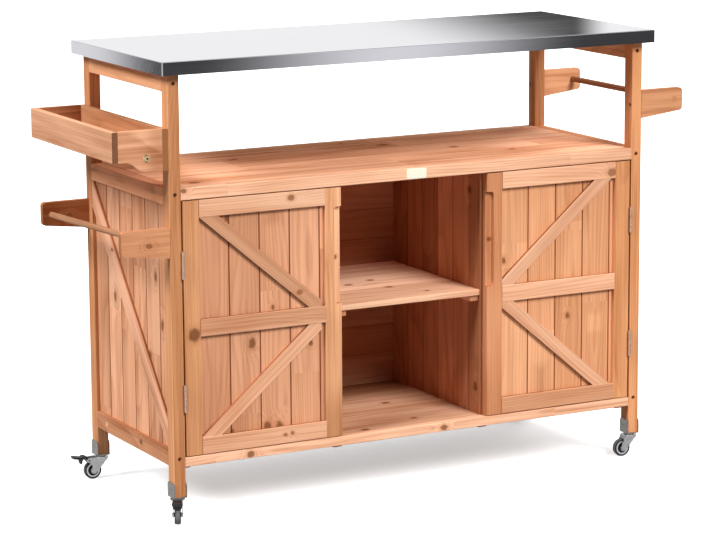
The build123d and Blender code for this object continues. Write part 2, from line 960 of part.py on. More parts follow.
save("steel_top", steel_top())
save("top_core", drill_long(top_core_blank()))
save("upper_rails", upper_rail(-1), upper_rail(1))
save("side_top_rails", side_top_rail(-1), side_top_rail(1))
save("side_bottom_rails", side_bottom_rail(-1), side_bottom_rail(1))
save("side_planks", *side_planks(-1), *side_planks(1))
save("side_braces", side_brace(-1), side_brace(1))

save("worktop_front_rail", deck_rail(-1, worktop_under, worktop_height))
save("worktop_boards", *deck_boards(worktop_board_under, worktop_height, post_in_x, -deck_in, deck_in))
save("floor_front_rail", deck_rail(-1, floor_under, floor_height))
save("floor_boards", *deck_boards(floor_board_under, floor_height, post_in_x, -deck_in, deck_in))
save(
    "rear_rails",
    deck_rail(1, worktop_under, worktop_height),
    deck_rail(1, floor_under, floor_height),
)
save("deck_battens", *deck_battens())
save("back_boards", *back_boards())

save("partitions", *partition(-1), *partition(1))
shelf_front = -(deck_in - shelf_setback)
save("shelf_boards", *deck_boards(shelf_under, shelf_height, bay_half_width, shelf_front, deck_in))
save("shelf_cleats", shelf_cleat(-1), shelf_cleat(1))

save("tray_inner_board", tray_inner_board())
save("tray_outer_board", tray_outer_board())
save("tray_ends", tray_end(-1), tray_end(1))
save("tray_bottom", tray_bottom())
save("tray_bolts", tray_bolt(-1), tray_bolt(1))

save("towel_arms", *[towel_arm(side, end) for side in (-1, 1) for end in (-1, 1)])
save("towel_rods", towel_rod(-1), towel_rod(1))

save("frame_screws", *[long_screw(*place) for place in long_screw_places])
save("short_screws", *[short_screw(*place) for place in short_screw_places])
save("door_catches", door_catch(-1), door_catch(1))
hinge_spots = [(side, level) for side in (-1, 1) for level in hinge_heights]
save("hinge_post_leaves", *[post_leaf(*spot) for spot in hinge_spots])
save("hinge_pins", *[hinge_pin(*spot) for spot in hinge_spots])

for side, name in ((-1, "left"), (1, "right")):
    save("door_" + name + "_hinge_stile", hinge_stile(side))
    save("door_" + name + "_pull_stile", pull_stile(side))
    save("door_" + name + "_rails", *door_rails(side))
    save("door_" + name + "_planks", *door_planks(side))
    save("door_" + name + "_braces", door_brace(side, True), door_brace(side, False))
    save("door_" + name + "_hinge_leaves", *[door_leaf(side, level) for level in hinge_heights])
    save("door_" + name + "_screws", *[short_screw(*place) for place in door_leaf_places[side]])
    save("door_" + name + "_strike", strike(side))

brackets = []
for name in caster_places:
    side, end, turn, braked = caster_places[name]
    bracket = Pos(side * post_mid_x, end * post_mid_y, 0) * caster_bracket()
    brackets.append(drill_short(bracket, bracket_screw_places))
    save("caster_" + name + "_fork", at_caster(name, fork(braked)), at_caster(name, axle()))
    save("caster_" + name + "_wheel", at_caster(name, wheel()))
    if braked:
        save("caster_" + name + "_pedal", at_caster(name, pedal()))
save("caster_brackets", *brackets)
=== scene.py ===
import json
from math import cos, radians, sin

import bmesh
import bpy
import numpy as np
from mathutils import Matrix, Vector


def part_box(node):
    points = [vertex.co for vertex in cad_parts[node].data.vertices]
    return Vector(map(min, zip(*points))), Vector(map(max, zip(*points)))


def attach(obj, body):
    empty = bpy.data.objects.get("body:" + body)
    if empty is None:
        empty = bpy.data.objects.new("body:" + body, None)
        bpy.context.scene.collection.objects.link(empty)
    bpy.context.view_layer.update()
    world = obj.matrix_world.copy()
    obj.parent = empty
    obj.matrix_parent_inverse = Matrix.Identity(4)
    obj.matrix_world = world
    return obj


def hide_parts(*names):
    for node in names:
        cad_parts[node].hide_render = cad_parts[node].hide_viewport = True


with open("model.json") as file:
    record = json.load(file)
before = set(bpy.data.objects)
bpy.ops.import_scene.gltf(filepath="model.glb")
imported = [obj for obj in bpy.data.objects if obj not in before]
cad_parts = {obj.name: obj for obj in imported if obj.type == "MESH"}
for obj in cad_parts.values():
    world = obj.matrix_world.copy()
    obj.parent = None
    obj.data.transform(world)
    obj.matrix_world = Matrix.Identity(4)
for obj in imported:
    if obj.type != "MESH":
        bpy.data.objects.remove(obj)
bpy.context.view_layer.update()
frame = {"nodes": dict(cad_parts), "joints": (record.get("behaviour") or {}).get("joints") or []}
nodes = frame["nodes"]
print("frame loaded:", len(nodes), "nodes")


def link(value, socket):
    value.id_data.links.new(value, socket)


# one shader node, in the tree that its linked values come from; wires are its sockets by name or number,
# settings its own choices
def put(kind, wires, **settings):
    tree = next(value.id_data for value in wires.values() if isinstance(value, bpy.types.NodeSocket))
    node = tree.nodes.new(kind)
    for key, value in settings.items():
        setattr(node, key, value)
    for socket, value in wires.items():
        if isinstance(value, bpy.types.NodeSocket):
            link(value, node.inputs[socket])
        else:
            node.inputs[socket].default_value = value
    return node


def calc(operation, *values):
    return put("ShaderNodeMath", dict(enumerate(values)), operation=operation).outputs[0]


def plus(first, second):
    return calc("ADD", first, second)


def minus(first, second):
    return calc("SUBTRACT", first, second)


def times(first, second):
    return calc("MULTIPLY", first, second)


def over(first, second):
    return calc("DIVIDE", first, second)


# a value times a factor, plus a shift
def scaled(value, factor, shift):
    return calc("MULTIPLY_ADD", value, factor, shift)


# one at nought, falling off evenly to both sides
def bell(value, width):
    step = over(value, width)
    return calc("EXPONENT", times(times(step, step), -1))


def vecCalc(operation, *values):
    node = put("ShaderNodeVectorMath", dict(enumerate(values)), operation=operation)
    return node.outputs["Value" if operation in ("LENGTH", "DOT_PRODUCT") else "Vector"]


def split(vector):
    return put("ShaderNodeSeparateXYZ", {0: vector}).outputs


def join(x, y, z):
    return put("ShaderNodeCombineXYZ", {0: x, 1: y, 2: z}).outputs[0]


def leastOf(vector):
    x, y, z = split(vector)
    return calc("MINIMUM", x, calc("MINIMUM", y, z))


def fade(value, low, high, start=0, end=1):
    wires = {"Value": value, "From Min": low, "From Max": high, "To Min": start, "To Max": end}
    return put("ShaderNodeMapRange", wires, interpolation_type="SMOOTHSTEP").outputs[0]


def mixColour(factor, first, second, blend="MIX"):
    wires = {0: factor, 6: first, 7: second}
    return put("ShaderNodeMix", wires, data_type="RGBA", blend_type=blend).outputs[2]


def noise(vector, scale, detail=2):
    return put("ShaderNodeTexNoise", {"Vector": vector, "Scale": scale, "Detail": detail}).outputs


def newObject(name, data):
    made = bpy.data.objects.new(name, data)
    bpy.context.scene.collection.objects.link(made)
    return made


# takes holds the defaults of the inputs, gives the kinds of the outputs
def newGroup(name, gives, **takes):
    group = bpy.data.node_groups.new(name, "ShaderNodeTree")
    for label, value in takes.items():
        kind = {3: "Vector", 4: "Color"}[len(value)] if isinstance(value, tuple) else "Float"
        socket = group.interface.new_socket(name=label, in_out="INPUT", socket_type="NodeSocket" + kind)
        socket.default_value = value
    for label, kind in gives.items():
        group.interface.new_socket(name=label, in_out="OUTPUT", socket_type="NodeSocket" + kind)
    return group, group.nodes.new("NodeGroupInput").outputs, group.nodes.new("NodeGroupOutput").inputs


def useGroup(nodeGroup, **wires):
    return put("ShaderNodeGroup", wires, node_tree=nodeGroup).outputs


def newMaterial(name):
    material = bpy.data.materials.new(name)
    material.use_nodes = True
    tree = material.node_tree
    tree.nodes.clear()
    shader = tree.nodes.new("ShaderNodeBsdfPrincipled")
    end = tree.nodes.new("ShaderNodeOutputMaterial")
    link(shader.outputs[0], end.inputs[0])
    return material, shader, tree.nodes.new("ShaderNodeTexCoord").outputs


def addBump(shader, height, strength, distance):
    bump = put("ShaderNodeBump", {"Height": height, "Strength": strength, "Distance": distance})
    link(bump.outputs[0], shader.inputs["Normal"])


# which board of a row a point lies on: whole pitches counted from a seam, the place from that board's
# middle, and how far the nearest seam is
def makeBoardCells():
    group, takes, gives = newGroup(
        "boardCells", dict(Local="Vector", Chance="Vector", Edge="Float"),
        Point=(0, 0, 0), Seam=(0, 0, 0), Pitch=(10, 10, 10), Seed=0)
    fromSeam = vecCalc("SUBTRACT", takes["Point"], takes["Seam"])
    steps = vecCalc("DIVIDE", fromSeam, takes["Pitch"])
    cell = vecCalc("FLOOR", steps)
    middle = vecCalc("ADD", cell, (0.5, 0.5, 0.5))
    local = vecCalc("MULTIPLY", vecCalc("SUBTRACT", steps, middle), takes["Pitch"])
    lot = {"Vector": cell, "W": takes["Seed"]}
    chance = put("ShaderNodeTexWhiteNoise", lot, noise_dimensions="4D")
    link(local, gives["Local"])
    link(chance.outputs["Color"], gives["Chance"])
    half = vecCalc("MULTIPLY", takes["Pitch"], (0.5, 0.5, 0.5))
    spare = vecCalc("SUBTRACT", half, vecCalc("ABSOLUTE", local))
    link(leastOf(spare), gives["Edge"])
    return group


noKnot = 60  # a distance, in knot radii, at which a knot no longer shows


# distance from one knot, in knot radii, kept if it is less than the distance from the knots before
def makeKnotReach():
    group, takes, gives = newGroup(
        "knotReach", dict(Reach="Float"),
        Point=(0, 0, 0), Centre=(0, 0, 0), Spread=(1, 1, 1), Radius=0.01, Before=noKnot)
    away = vecCalc("SUBTRACT", takes["Point"], takes["Centre"])
    flat = vecCalc("MULTIPLY", away, takes["Spread"])
    radii = over(vecCalc("LENGTH", flat), takes["Radius"])
    link(calc("MINIMUM", radii, takes["Before"]), gives["Reach"])
    return group


# inside a box round its centre the wood's tone is scaled: some boxes are shorter lengths let into a board
# with a tone of their own, others are painted shade or painted light
def makeTonePatch():
    group, takes, gives = newGroup(
        "tonePatch", dict(Tone="Float"),
        Point=(0, 0, 0), Centre=(0, 0, 0), Half=(1, 1, 1), Shade=1, Soft=0.0005, Before=1)
    away = vecCalc("ABSOLUTE", vecCalc("SUBTRACT", takes["Point"], takes["Centre"]))
    least = leastOf(vecCalc("SUBTRACT", takes["Half"], away))
    inside = fade(least, 0, takes["Soft"])
    change = scaled(inside, minus(takes["Shade"], 1), 1)
    link(times(change, takes["Before"]), gives["Tone"])
    return group


# one where a face is cut across the grain, nought along it
def makeEndGrain():
    alongFace, acrossFace = 0.75, 0.95
    group, takes, gives = newGroup("endGrain", dict(End="Float"), Normal=(0, 0, 1), Grain=(0, 0, 1))
    along = calc("ABSOLUTE", vecCalc("DOT_PRODUCT", takes["Normal"], takes["Grain"]))
    link(fade(along, alongFace, acrossFace), gives["End"])
    return group


# pairs are scales along and across the grain, or a factor and a shift; triples a start, an end and a
# strength
softwoodLook = {
    "boardStep": 7, "blockStep": 20, "blockSeeds": (31, 17),
    "knotCell": 0.085, "knotDraw": 0.8, "knotStep": 9, "knotSize": (0.0045, 0.0025),
    "ragged": (0.9, 0.55), "raggedDraw": 0.7, "raggedScale": 150,
    "slow": (1.5, 5), "fibre": (10, 420), "streak": (1.6, 55), "line": (3.5, 150), "blotch": 2.2,
    "pithSide": 0.11, "pithDepth": (-0.07, -0.02), "pithWander": (0.05, -0.025),
    "swirl": 3, "swirlWidth": 2.4,
    "earlyWood": 0.1, "lateWood": ((0.45, 0.22), (0.78, 0.85), (0.9, 1)),
    "weights": {"blotch": 1.4, "fibre": 0.55, "line": 1.1, "streak": 1.6}, "base": 0.15,
    "greenTint": (-0.45, 1.35), "blueTint": (-0.8, 1.7),
    "halo": (1, 2.6, 0.45), "heart": (0.7, 1.2, 0.92), "rim": 0.4, "rimWidth": 0.24,
    "heartRings": 15, "heartContrast": 0.15, "crackCore": 0.0007, "endStain": (0.2, 0.75),
    "fibreHeight": 0.6, "lateHeight": -0.35, "heartHeight": 0.4,
    "fibreRough": 0.25, "endRough": (0.2, 0.58), "heartRough": -0.08}


# sawn softwood: growth rings are the distance from a wandering pith divided by the ring width, pushed aside
# by knots; X runs along the grain, and boards are glued up end to end from shorter lengths
def makeSoftwood():
    look = softwoodLook
    group, takes, gives = newGroup(
        "softwood", dict(Color="Color", Height="Float", Roughness="Float"),
        Point=(0, 0, 0), Chance=(0, 0, 0), Reach=noKnot, End=0, Edge=1, Crack=0.9, CrackWidth=0.0023,
        Pale=(1, 1, 1, 1), Tan=(1, 1, 1, 1), Deep=(0, 0, 0, 1), Ring=0.0035, Figure=0.5, Streaks=1,
        Length=10, Patch=0.2, KnotShare=0.1, KnotDepth=0.5, Tone=1, EndDepth=0.25, EndTan=(1, 1, 1, 1))
    point, chance = split(takes["Point"]), split(takes["Chance"])
    along = scaled(chance[0], look["boardStep"], point[0])
    block = calc("FLOOR", over(along, takes["Length"]))
    seeds = [times(chance[step + 1], factor) for step, factor in enumerate(look["blockSeeds"])]
    blockSeed = join(block, *seeds)
    blockNoise = put("ShaderNodeTexWhiteNoise", {"Vector": blockSeed}, noise_dimensions="3D")
    own = split(blockNoise.outputs["Color"])
    far = scaled(own[0], look["blockStep"], along)

    def drawn(name):
        long, wide = look[name]
        return join(times(far, long), times(point[1], wide), times(point[2], wide))

    def uneven(vector, scale, detail):
        return minus(noise(vector, scale, detail)["Fac"], 0.5)

    # knots scattered over the face, each straight through the board
    across = scaled(own[1], look["knotStep"], point[1])
    spot = join(times(far, look["knotDraw"]), across, 0)
    scatter = {"Vector": spot, "Scale": 1 / look["knotCell"]}
    cells = put("ShaderNodeTexVoronoi", scatter, voronoi_dimensions="2D")
    lot = split(cells.outputs["Color"])
    size = scaled(lot[1], *look["knotSize"])
    radii = over(times(cells.outputs["Distance"], look["knotCell"]), size)
    clear = times(calc("GREATER_THAN", lot[0], takes["KnotShare"]), noKnot)
    reach = calc("MINIMUM", plus(radii, clear), takes["Reach"])
    rag = join(times(far, look["raggedDraw"]), point[1], point[2])
    ragged = noise(rag, look["raggedScale"])["Fac"]
    reach = times(reach, scaled(ragged, *look["ragged"]))

    # rings round the pith
    slow = drawn("slow")
    drift = split(noise(slow, 1)["Color"])
    pithY = times(minus(own[1], 0.5), look["pithSide"])
    pithZ = scaled(own[2], *look["pithDepth"])
    acrossY = plus(minus(point[1], pithY), scaled(drift[0], *look["pithWander"]))
    acrossZ = plus(minus(point[2], pithZ), scaled(drift[1], *look["pithWander"]))
    square = plus(times(acrossY, acrossY), times(acrossZ, acrossZ))
    swirl = times(bell(reach, look["swirlWidth"]), look["swirl"])
    rings = plus(over(calc("SQRT", square), takes["Ring"]), swirl)
    ringRamp = put("ShaderNodeValToRGB", {0: calc("FRACT", rings)})
    stops = ringRamp.color_ramp.elements
    for stop in stops:
        stop.color = (look["earlyWood"], look["earlyWood"], look["earlyWood"], 1)
    for position, level in look["lateWood"]:
        stops.new(position).color = (level, level, level, 1)
    late = ringRamp.outputs[0]

    # fibres, streaks and slow changes of tone
    parts = {"blotch": uneven(slow, look["blotch"], 2), "fibre": uneven(drawn("fibre"), 1, 2),
             "line": uneven(drawn("line"), 1, 3), "streak": uneven(drawn("streak"), 1, 3)}
    fibre = parts["fibre"]
    streaks = 0
    for name, part in parts.items():
        streaks = scaled(part, look["weights"][name], streaks)
    depth = scaled(streaks, takes["Streaks"], times(late, takes["Figure"]))
    depth = put("ShaderNodeClamp", {0: plus(depth, look["base"])}).outputs[0]
    body = mixColour(depth, takes["Pale"], takes["Tan"])
    tone = scaled(minus(own[2], 0.5), takes["Patch"], takes["Tone"])
    red = times(minus(own[1], 0.5), takes["Patch"])
    tints = [scaled(red, factor, calc("POWER", tone, power))
             for factor, power in (look["greenTint"], look["blueTint"])]
    body = mixColour(1, body, join(tone, *tints), "MULTIPLY")

    # knots: a reddish halo, a brown heart with its own rings, a dark rim
    halo = fade(reach, *look["halo"], 0)
    heart = fade(reach, *look["heart"], 0)
    rim = bell(minus(reach, 1), look["rimWidth"])
    wave = calc("SINE", times(reach, look["heartRings"]))
    heartDepth = scaled(wave, look["heartContrast"], takes["KnotDepth"])
    body = mixColour(halo, body, takes["Tan"])
    body = mixColour(heart, body, mixColour(heartDepth, takes["Tan"], takes["Deep"]))
    body = mixColour(times(rim, look["rim"]), body, takes["Deep"])

    # the seams are darkened to twice the tan: painted shade in the grooves, partly stain gathered there
    seam = fade(takes["Edge"], look["crackCore"], takes["CrackWidth"], 1, 0)
    seamShadeAndStain = mixColour(1, takes["Tan"], takes["Tan"], "MULTIPLY")
    body = mixColour(times(seam, takes["Crack"]), body, seamShadeAndStain)

    # end grain drinks more stain
    endTone = mixColour(takes["EndDepth"], takes["EndTan"], takes["Deep"])
    onEnd = times(takes["End"], scaled(late, *look["endStain"]))
    link(mixColour(onEnd, body, endTone), gives["Color"])
    height = scaled(fibre, look["fibreHeight"], times(late, look["lateHeight"]))
    link(scaled(heart, look["heartHeight"], height), gives["Height"])
    gloss = scaled(fibre, look["fibreRough"], scaled(takes["End"], *look["endRough"]))
    link(scaled(heart, look["heartRough"], gloss), gives["Roughness"])
    return group


# rolled or drawn metal: fine parallel lines and faint cloudy wear
def makeDrawnMetal():
    group, takes, gives = newGroup(
        "drawnMetal", dict(Lines="Float", Wear="Float"),
        Point=(0, 0, 0), Stretch=(4, 700, 700), Fineness=3, Clouds=9)
    stretched = vecCalc("MULTIPLY", takes["Point"], takes["Stretch"])
    link(noise(stretched, 1, takes["Fineness"])["Fac"], gives["Lines"])
    link(noise(takes["Point"], takes["Clouds"], 3)["Fac"], gives["Wear"])
    return group


boardCells, knotReach, tonePatch = makeBoardCells(), makeKnotReach(), makeTonePatch()
endGrain, softwood, drawnMetal = makeEndGrain(), makeSoftwood(), makeDrawnMetal()
print("node groups ready")

axisOf = {"x": 0, "y": 1, "z": 2}
woodTones = {
    "stile": {"pale": (0.86, 0.41, 0.195), "tan": (0.54, 0.2, 0.075), "deep": (0.1, 0.035, 0.014)},
    "rail": {"pale": (0.96, 0.56, 0.36), "tan": (0.62, 0.26, 0.125), "deep": (0.11, 0.038, 0.016)},
    "plank": {"pale": (0.84, 0.42, 0.24), "tan": (0.44, 0.165, 0.07), "deep": (0.09, 0.03, 0.012)},
}
# what a piece of timber has where its own look says nothing else
plainWood = dict(seams={}, seed=0, turn=0, knotShape=0.75,
    knots=(),
    patches=(), ring=0.0048, figure=0.5, streaks=1, length=10, patch=0.2, knotShare=0.06, knotDepth=0.5,
    crack=0.92, crackWidth=0.0023, endDepth=0.25, shade=1, gloss=0.05, bump=0.35, bumpDepth=0.0004,
    wholeBoard=10.0)


# order names the grain, width and thickness axes; seams holds axis: (a seam, the pitch); turn leans the
# grain in the board's own plane, and fold mirrors what lies under that height; a knot is a place and a
# radius, a patch a centre, half sizes, a tone and the softness of its edge
def woodMaterial(name, ownLook, box):
    look = dict(plainWood, **ownLook)
    material, shader, place = newMaterial(name)
    long, wide = (axisOf[axis] for axis in look["order"][:2])
    middle = (np.array(box[0]) + np.array(box[1])) / 2
    pitch = np.full(3, look["wholeBoard"])
    seam = middle - pitch / 2
    for axis, (start, step) in look["seams"].items():
        seam[axisOf[axis]] = start
        pitch[axisOf[axis]] = step
    point = place["Object"]
    cells = useGroup(boardCells, Point=point, Seam=tuple(seam), Pitch=tuple(pitch), Seed=look["seed"])
    local = split(cells["Local"])
    if "fold" in look:
        raw = split(point)
        lifted = calc("ABSOLUTE", minus(raw[2], look["fold"]))
        local = [minus(raw[0], middle[0]), minus(raw[1], middle[1]), lifted]
    laid = join(*[local[axisOf[axis]] for axis in look["order"]])
    turn = radians(look["turn"])
    grain, spread = np.zeros(3), np.zeros(3)
    grain[[long, wide]] = cos(turn), sin(turn)
    spread[[long, wide]] = look["knotShape"], 1
    if turn:
        lean = {"Vector": laid, "Rotation": (0, 0, -turn)}
        laid = put("ShaderNodeMapping", lean).outputs[0]
    reach = noKnot
    for x, y, z, radius in look["knots"]:
        knot = dict(Point=point, Centre=(x, y, z), Spread=tuple(spread), Radius=radius, Before=reach)
        reach = useGroup(knotReach, **knot)["Reach"]
    tone = 1
    for centre, half, amount, soft in look["patches"]:
        patch = dict(Point=point, Centre=centre, Half=half, Shade=amount, Soft=soft, Before=tone)
        tone = useGroup(tonePatch, **patch)["Tone"]
    end = useGroup(endGrain, Normal=place["Normal"], Grain=tuple(grain))["End"]
    wires = dict(Point=laid, Chance=cells["Chance"], Edge=cells["Edge"], Reach=reach, Tone=tone, End=end)
    for label in ("Ring", "Figure", "Streaks", "Length", "Patch", "KnotShare", "KnotDepth", "Crack",
                  "CrackWidth", "EndDepth"):
        wires[label] = look[label[0].lower() + label[1:]]
    tones = woodTones[look["tone"]]
    colours = {label.capitalize(): np.array(tones[label]) * look["shade"] for label in tones}
    colours["EndTan"] = np.array(tones["tan"]) * look.get("endShade", look["shade"])
    for label, colour in colours.items():
        wires[label] = (*np.minimum(colour, 1), 1)
    wood = useGroup(softwood, **wires)
    link(wood["Color"], shader.inputs["Base Color"])
    link(wood["Roughness"], shader.inputs["Roughness"])
    shader.inputs["Specular IOR Level"].default_value = look["gloss"]
    addBump(shader, wood["Height"], look["bump"], look["bumpDepth"])
    return material


def dress(material, *names):
    for name in names:
        for holder in nodes[name].material_slots:
            holder.material = material


def dressWood(name, look, **changes):
    dress(woodMaterial(name + "Wood", dict(look, **changes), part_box(name)), name)


cutEdge = 0.0005  # softness of a tone that ends at a cut
posts = dict(order="zxy", tone="stile", seed=11, figure=0.32, knotShare=0.04, patch=0.14)
# painted shade on the left front post's front face, painted light on the left rear post's front face at its
# foot, and a painted shadow strip on the right front post beside the right door's hinge gap
dressWood("post_front_left", posts, shade=0.88,
    patches=[((-0.532, -0.1955, 0.46), (0.03, 0.0004, 0.5), 0.76, 0.0002)])
dressWood("post_rear_left", posts, seed=14.7, shade=0.8,
    patches=[((-0.532, 0.1955, 0.06), (0.03, 0.0004, 0.07), 1.4, 0.0002)])
dressWood("post_rear_right", posts, seed=18.4, shade=0.8)
dressWood("post_front_right", posts, seed=13,
    patches=[((0.5345, -0.18, 0.392), (0.0012, 0.05, 0.262), 0.5, 0.0006)])

bothEnds = {"x": (0, 5)}  # one seam between the left and the right end
upperRails = dict(order="yzx", tone="stile", seed=21, seams=bothEnds, figure=0.35)
sideRails = dict(order="yzx", tone="plank", seed=23, seams=bothEnds, figure=0.4)
dressWood("upper_rails", upperRails, shade=(0.9, 1, 1.15))
# painted light: the side top rails, which the tray shades, are kept lighter than the bottom rails
dressWood("side_top_rails", sideRails, shade=(1.2, 1.08, 0.95))
dressWood("side_bottom_rails", sideRails, seed=26.7, shade=0.84)

sidePlanks = dict(order="zyx", tone="plank", seed=31, seams=dict(bothEnds, y=(0.1355, 0.0645)), figure=0.34,
    length=0.5, knotShare=0.03, knotShape=0.55, streaks=0.75, shade=(0.98, 1.03, 1.08),
    knots=[(-0.5365, -0.1045, 0.4878, 0.005), (-0.5365, 0.1021, 0.4118, 0.005),
        (-0.5365, -0.133, 0.3923, 0.005), (-0.5365, -0.0706, 0.3192, 0.005),
        (-0.5365, 0.0745, 0.4335, 0.004)])
dressWood("side_planks", sidePlanks)
sideBraces = dict(order="yzx", tone="plank", seed=35, seams=bothEnds, turn=50.5, figure=0.36,
    shade=(0.97, 1.06, 1.18), knotShare=0.02,
    knots=[(-0.5435, -0.0196, 0.3158, 0.004), (-0.5435, 0.098, 0.51, 0.003)],
    # painted shade on the braces' edge faces, everywhere behind their outer face
    patches=[((0, 0, 0.4), (0.5425, 1, 1), 0.4, 0.003)])
dressWood("side_braces", sideBraces)

deckSeams = {"y": (-0.0555, 0.14), "x": (-0.5195, 1.054)}
worktop = dict(order="xyz", tone="rail", seed=43, seams=deckSeams, figure=0.42, length=0.7, patch=0.08,
    knotShare=0.04, streaks=1.3, gloss=0, crack=0.65, crackWidth=0.003, shade=(1.05, 0.95, 0.9),
    knotDepth=0.6,
    knots=[(-0.4667, -0.1424, 0.677, 0.008), (0.2213, 0.0174, 0.677, 0.006), (0.1025, 0.1182, 0.677, 0.008),
        (-0.27, 0.09, 0.677, 0.006), (0.31, -0.075, 0.677, 0.005)],
    # painted light over the worktop's right end and painted shade on its rear board, under the steel top
    patches=[((0.6, 0, 0.67), (0.4, 0.6, 0.5), 1.2, 0.25),
        ((-0.3, 0.1545, 0.67), (0.4, 0.07, 0.05), 0.93, cutEdge)])
floorDeck = dict(worktop, seed=45, shade=0.76, crack=0.2,
    knots=[(0.0523, 0.0191, 0.1325, 0.006), (0.0398, -0.1294, 0.1325, 0.005),
        (-0.0977, -0.168, 0.1325, 0.006)],
    # painted shade growing darker towards the rear of the floor; the front is a little darker as well
    patches=[((0, 0.3, 0.125), (2, 0.25, 2), 0.36, 0.17), ((0, -0.3, 0.125), (2, 0.2, 2), 0.92, 0.06)])
frontRails = dict(order="xzy", tone="rail", seed=47, figure=0.42, length=0.8, patch=0.05, knotShare=0.02,
    knotDepth=0.65,
    knots=[(-0.374, -0.1955, 0.1216, 0.006), (0.075, -0.1955, 0.1216, 0.0052),
        (-0.513, -0.1955, 0.672, 0.004)],
    patches=[((0.6, -0.19, 0.66), (0.35, 0.3, 0.3), 0.9, 0.15)])
dressWood("worktop_boards", worktop)
dressWood("floor_boards", floorDeck)
dressWood("worktop_front_rail", frontRails)
dressWood("floor_front_rail", frontRails, seed=50.7)
rearRails = dict(order="xzy", tone="rail", seed=51, seams={"z": (0.4, 5)}, length=0.8)
dressWood("rear_rails", rearRails)
battens = dict(order="yxz", tone="plank", seed=53, seams={"x": (0, 0.1), "z": (0.4, 5)})
dressWood("deck_battens", battens)
backBoards = dict(order="xzy", tone="plank", seed=57, seams={"z": (0.1325, 0.0650625)}, length=0.6,
    patch=0.16, crack=0.16, shade=(0.96, 0.98, 1.12), figure=0.26, streaks=0.45,
    # painted shade on the face that looks into the bay
    patches=[((0, 0.2045, 0.4), (0.6, 0.004, 0.4), 0.65, cutEdge)])
dressWood("back_boards", backBoards)

# painted shade and light in the bay: the partitions are kept dark overall, and the patches make them
# lighter towards the front and darker towards the rear, most of all high up at the rear; the front stile is
# darker again
partitions = dict(order="zyx", tone="plank", seed=61, seams=dict(bothEnds, y=(-0.12647, 0.0662)),
    figure=0.3, patch=0.22, crack=0.46, streaks=0.6, shade=(0.77, 0.67, 0.62),
    knots=[(0.1745, -0.1292, 0.6082, 0.005), (0.1745, -0.155, 0.19, 0.006)],
    patches=[((0.17, -0.18, 0.4), (0.05, 0.0535, 0.4), 0.74, cutEdge),
        ((0.17, -0.0603, 0.4), (0.05, 0.0662, 0.4), 1.16, cutEdge),
        ((0.17, 0.1059, 0.54), (0.05, 0.1, 0.14), 0.74, cutEdge),
        ((0.17, 0.1059, 0.26), (0.05, 0.1, 0.14), 0.98, cutEdge),
        ((0.17, -0.06, 0.26), (0.05, 0.0659, 0.14), 1.1, cutEdge)])
dressWood("partitions", partitions)
shelf = dict(order="xyz", tone="rail", seed=63, seams={"y": (-0.0555, 0.14)}, figure=0.3, knotShare=0,
    shade=(0.92, 0.95, 0.95), gloss=0, crack=0.2, knotDepth=0.7,
    knots=[(-0.0411, 0.0094, 0.402, 0.0055), (0.0246, 0.0335, 0.402, 0.005),
        (0.0234, -0.0506, 0.402, 0.0055), (0.0737, -0.1262, 0.402, 0.0035)],
    # painted light on the shelf's middle and rear, where the worktop shades it
    patches=[((0, 0.0845, 0.39), (0.3, 0.14, 0.05), 1.2, cutEdge),
        ((0, 0.3, 0.39), (2, 0.2, 2), 1.25, 0.12)])
dressWood("shelf_boards", shelf)
cleats = dict(order="yxz", tone="rail", seed=67, seams=bothEnds)
dressWood("shelf_cleats", cleats)

doorFrame = dict(order="zxy", tone="stile", seed=71, figure=0.25, knotShare=0.02, patch=0.1, knotShape=1,
    knotDepth=0.66,
    knots=[(-0.4953, -0.1945, 0.3807, 0.011), (-0.1756, -0.1945, 0.5072, 0.004),
        (0.1876, -0.1945, 0.5109, 0.004)])
# painted shadow: a dark strip along the left door's hinge gap
dressWood("door_left_hinge_stile", doorFrame, shade=0.83,
    patches=[((-0.5175, -0.185, 0.39), (0.0018, 0.05, 0.3), 0.3, 0.001)])
dressWood("door_left_pull_stile", doorFrame, seed=73, shade=(1.02, 1.1, 1.24),
    patches=[((-0.17, -0.19, 0.1), (0.3, 0.3, 0.34), 0.84, 0.1),
        ((-0.17, -0.19, 0.03), (0.3, 0.3, 0.24), 0.74, 0.1),
        ((-0.17, -0.19, 0.72), (0.3, 0.3, 0.24), 1.15, 0.12)])
dressWood("door_right_hinge_stile", doorFrame, seed=76.7, shade=(0.9, 0.87, 0.84))
dressWood("door_right_pull_stile", doorFrame, seed=80.4, shade=(0.83, 0.76, 0.78),
    patches=[((0.17, -0.19, 0.7), (0.3, 0.3, 0.34), 0.9, 0.1),
        ((0.17, -0.19, 0.03), (0.3, 0.3, 0.24), 0.86, 0.1)])
# painted shade on the edge faces of planted rails and braces, everywhere behind their front face, partly
# stain gathered in the corner
edgeShadeAndStain = ((0, -0.18, 0.4), (1, 0.0142, 1), 0.4, 0.003)
doorRails = dict(order="xzy", tone="rail", seed=75, seams={"z": (0.26, 0.2)}, figure=0.34, knotShare=0.02,
    streaks=0.85, patch=0.12,
    knots=[(-0.2772, -0.1955, 0.6388, 0.005), (0.4863, -0.1955, 0.629, 0.007),
        (-0.2958, -0.1955, 0.1522, 0.003), (-0.2801, -0.1955, 0.1543, 0.003)],
    patches=[edgeShadeAndStain, ((-0.34, -0.19, 0.39275), (0.2, 0.02, 0.02), 0.84, cutEdge),
        ((0.356, -0.19, 0.152), (0.2, 0.02, 0.02), 0.7, 0.004),
        ((-0.34, -0.19, 0.152), (0.2, 0.02, 0.02), 0.92, cutEdge)])
dressWood("door_left_rails", doorRails, shade=0.92)
dressWood("door_right_rails", doorRails, seed=77, streaks=0.6)
doorPlanks = dict(order="zxy", tone="plank", seed=79, figure=0.3, length=0.5, patch=0.12, knotShare=0.02,
    knotShape=0.7, crack=0.87, streaks=0.5)
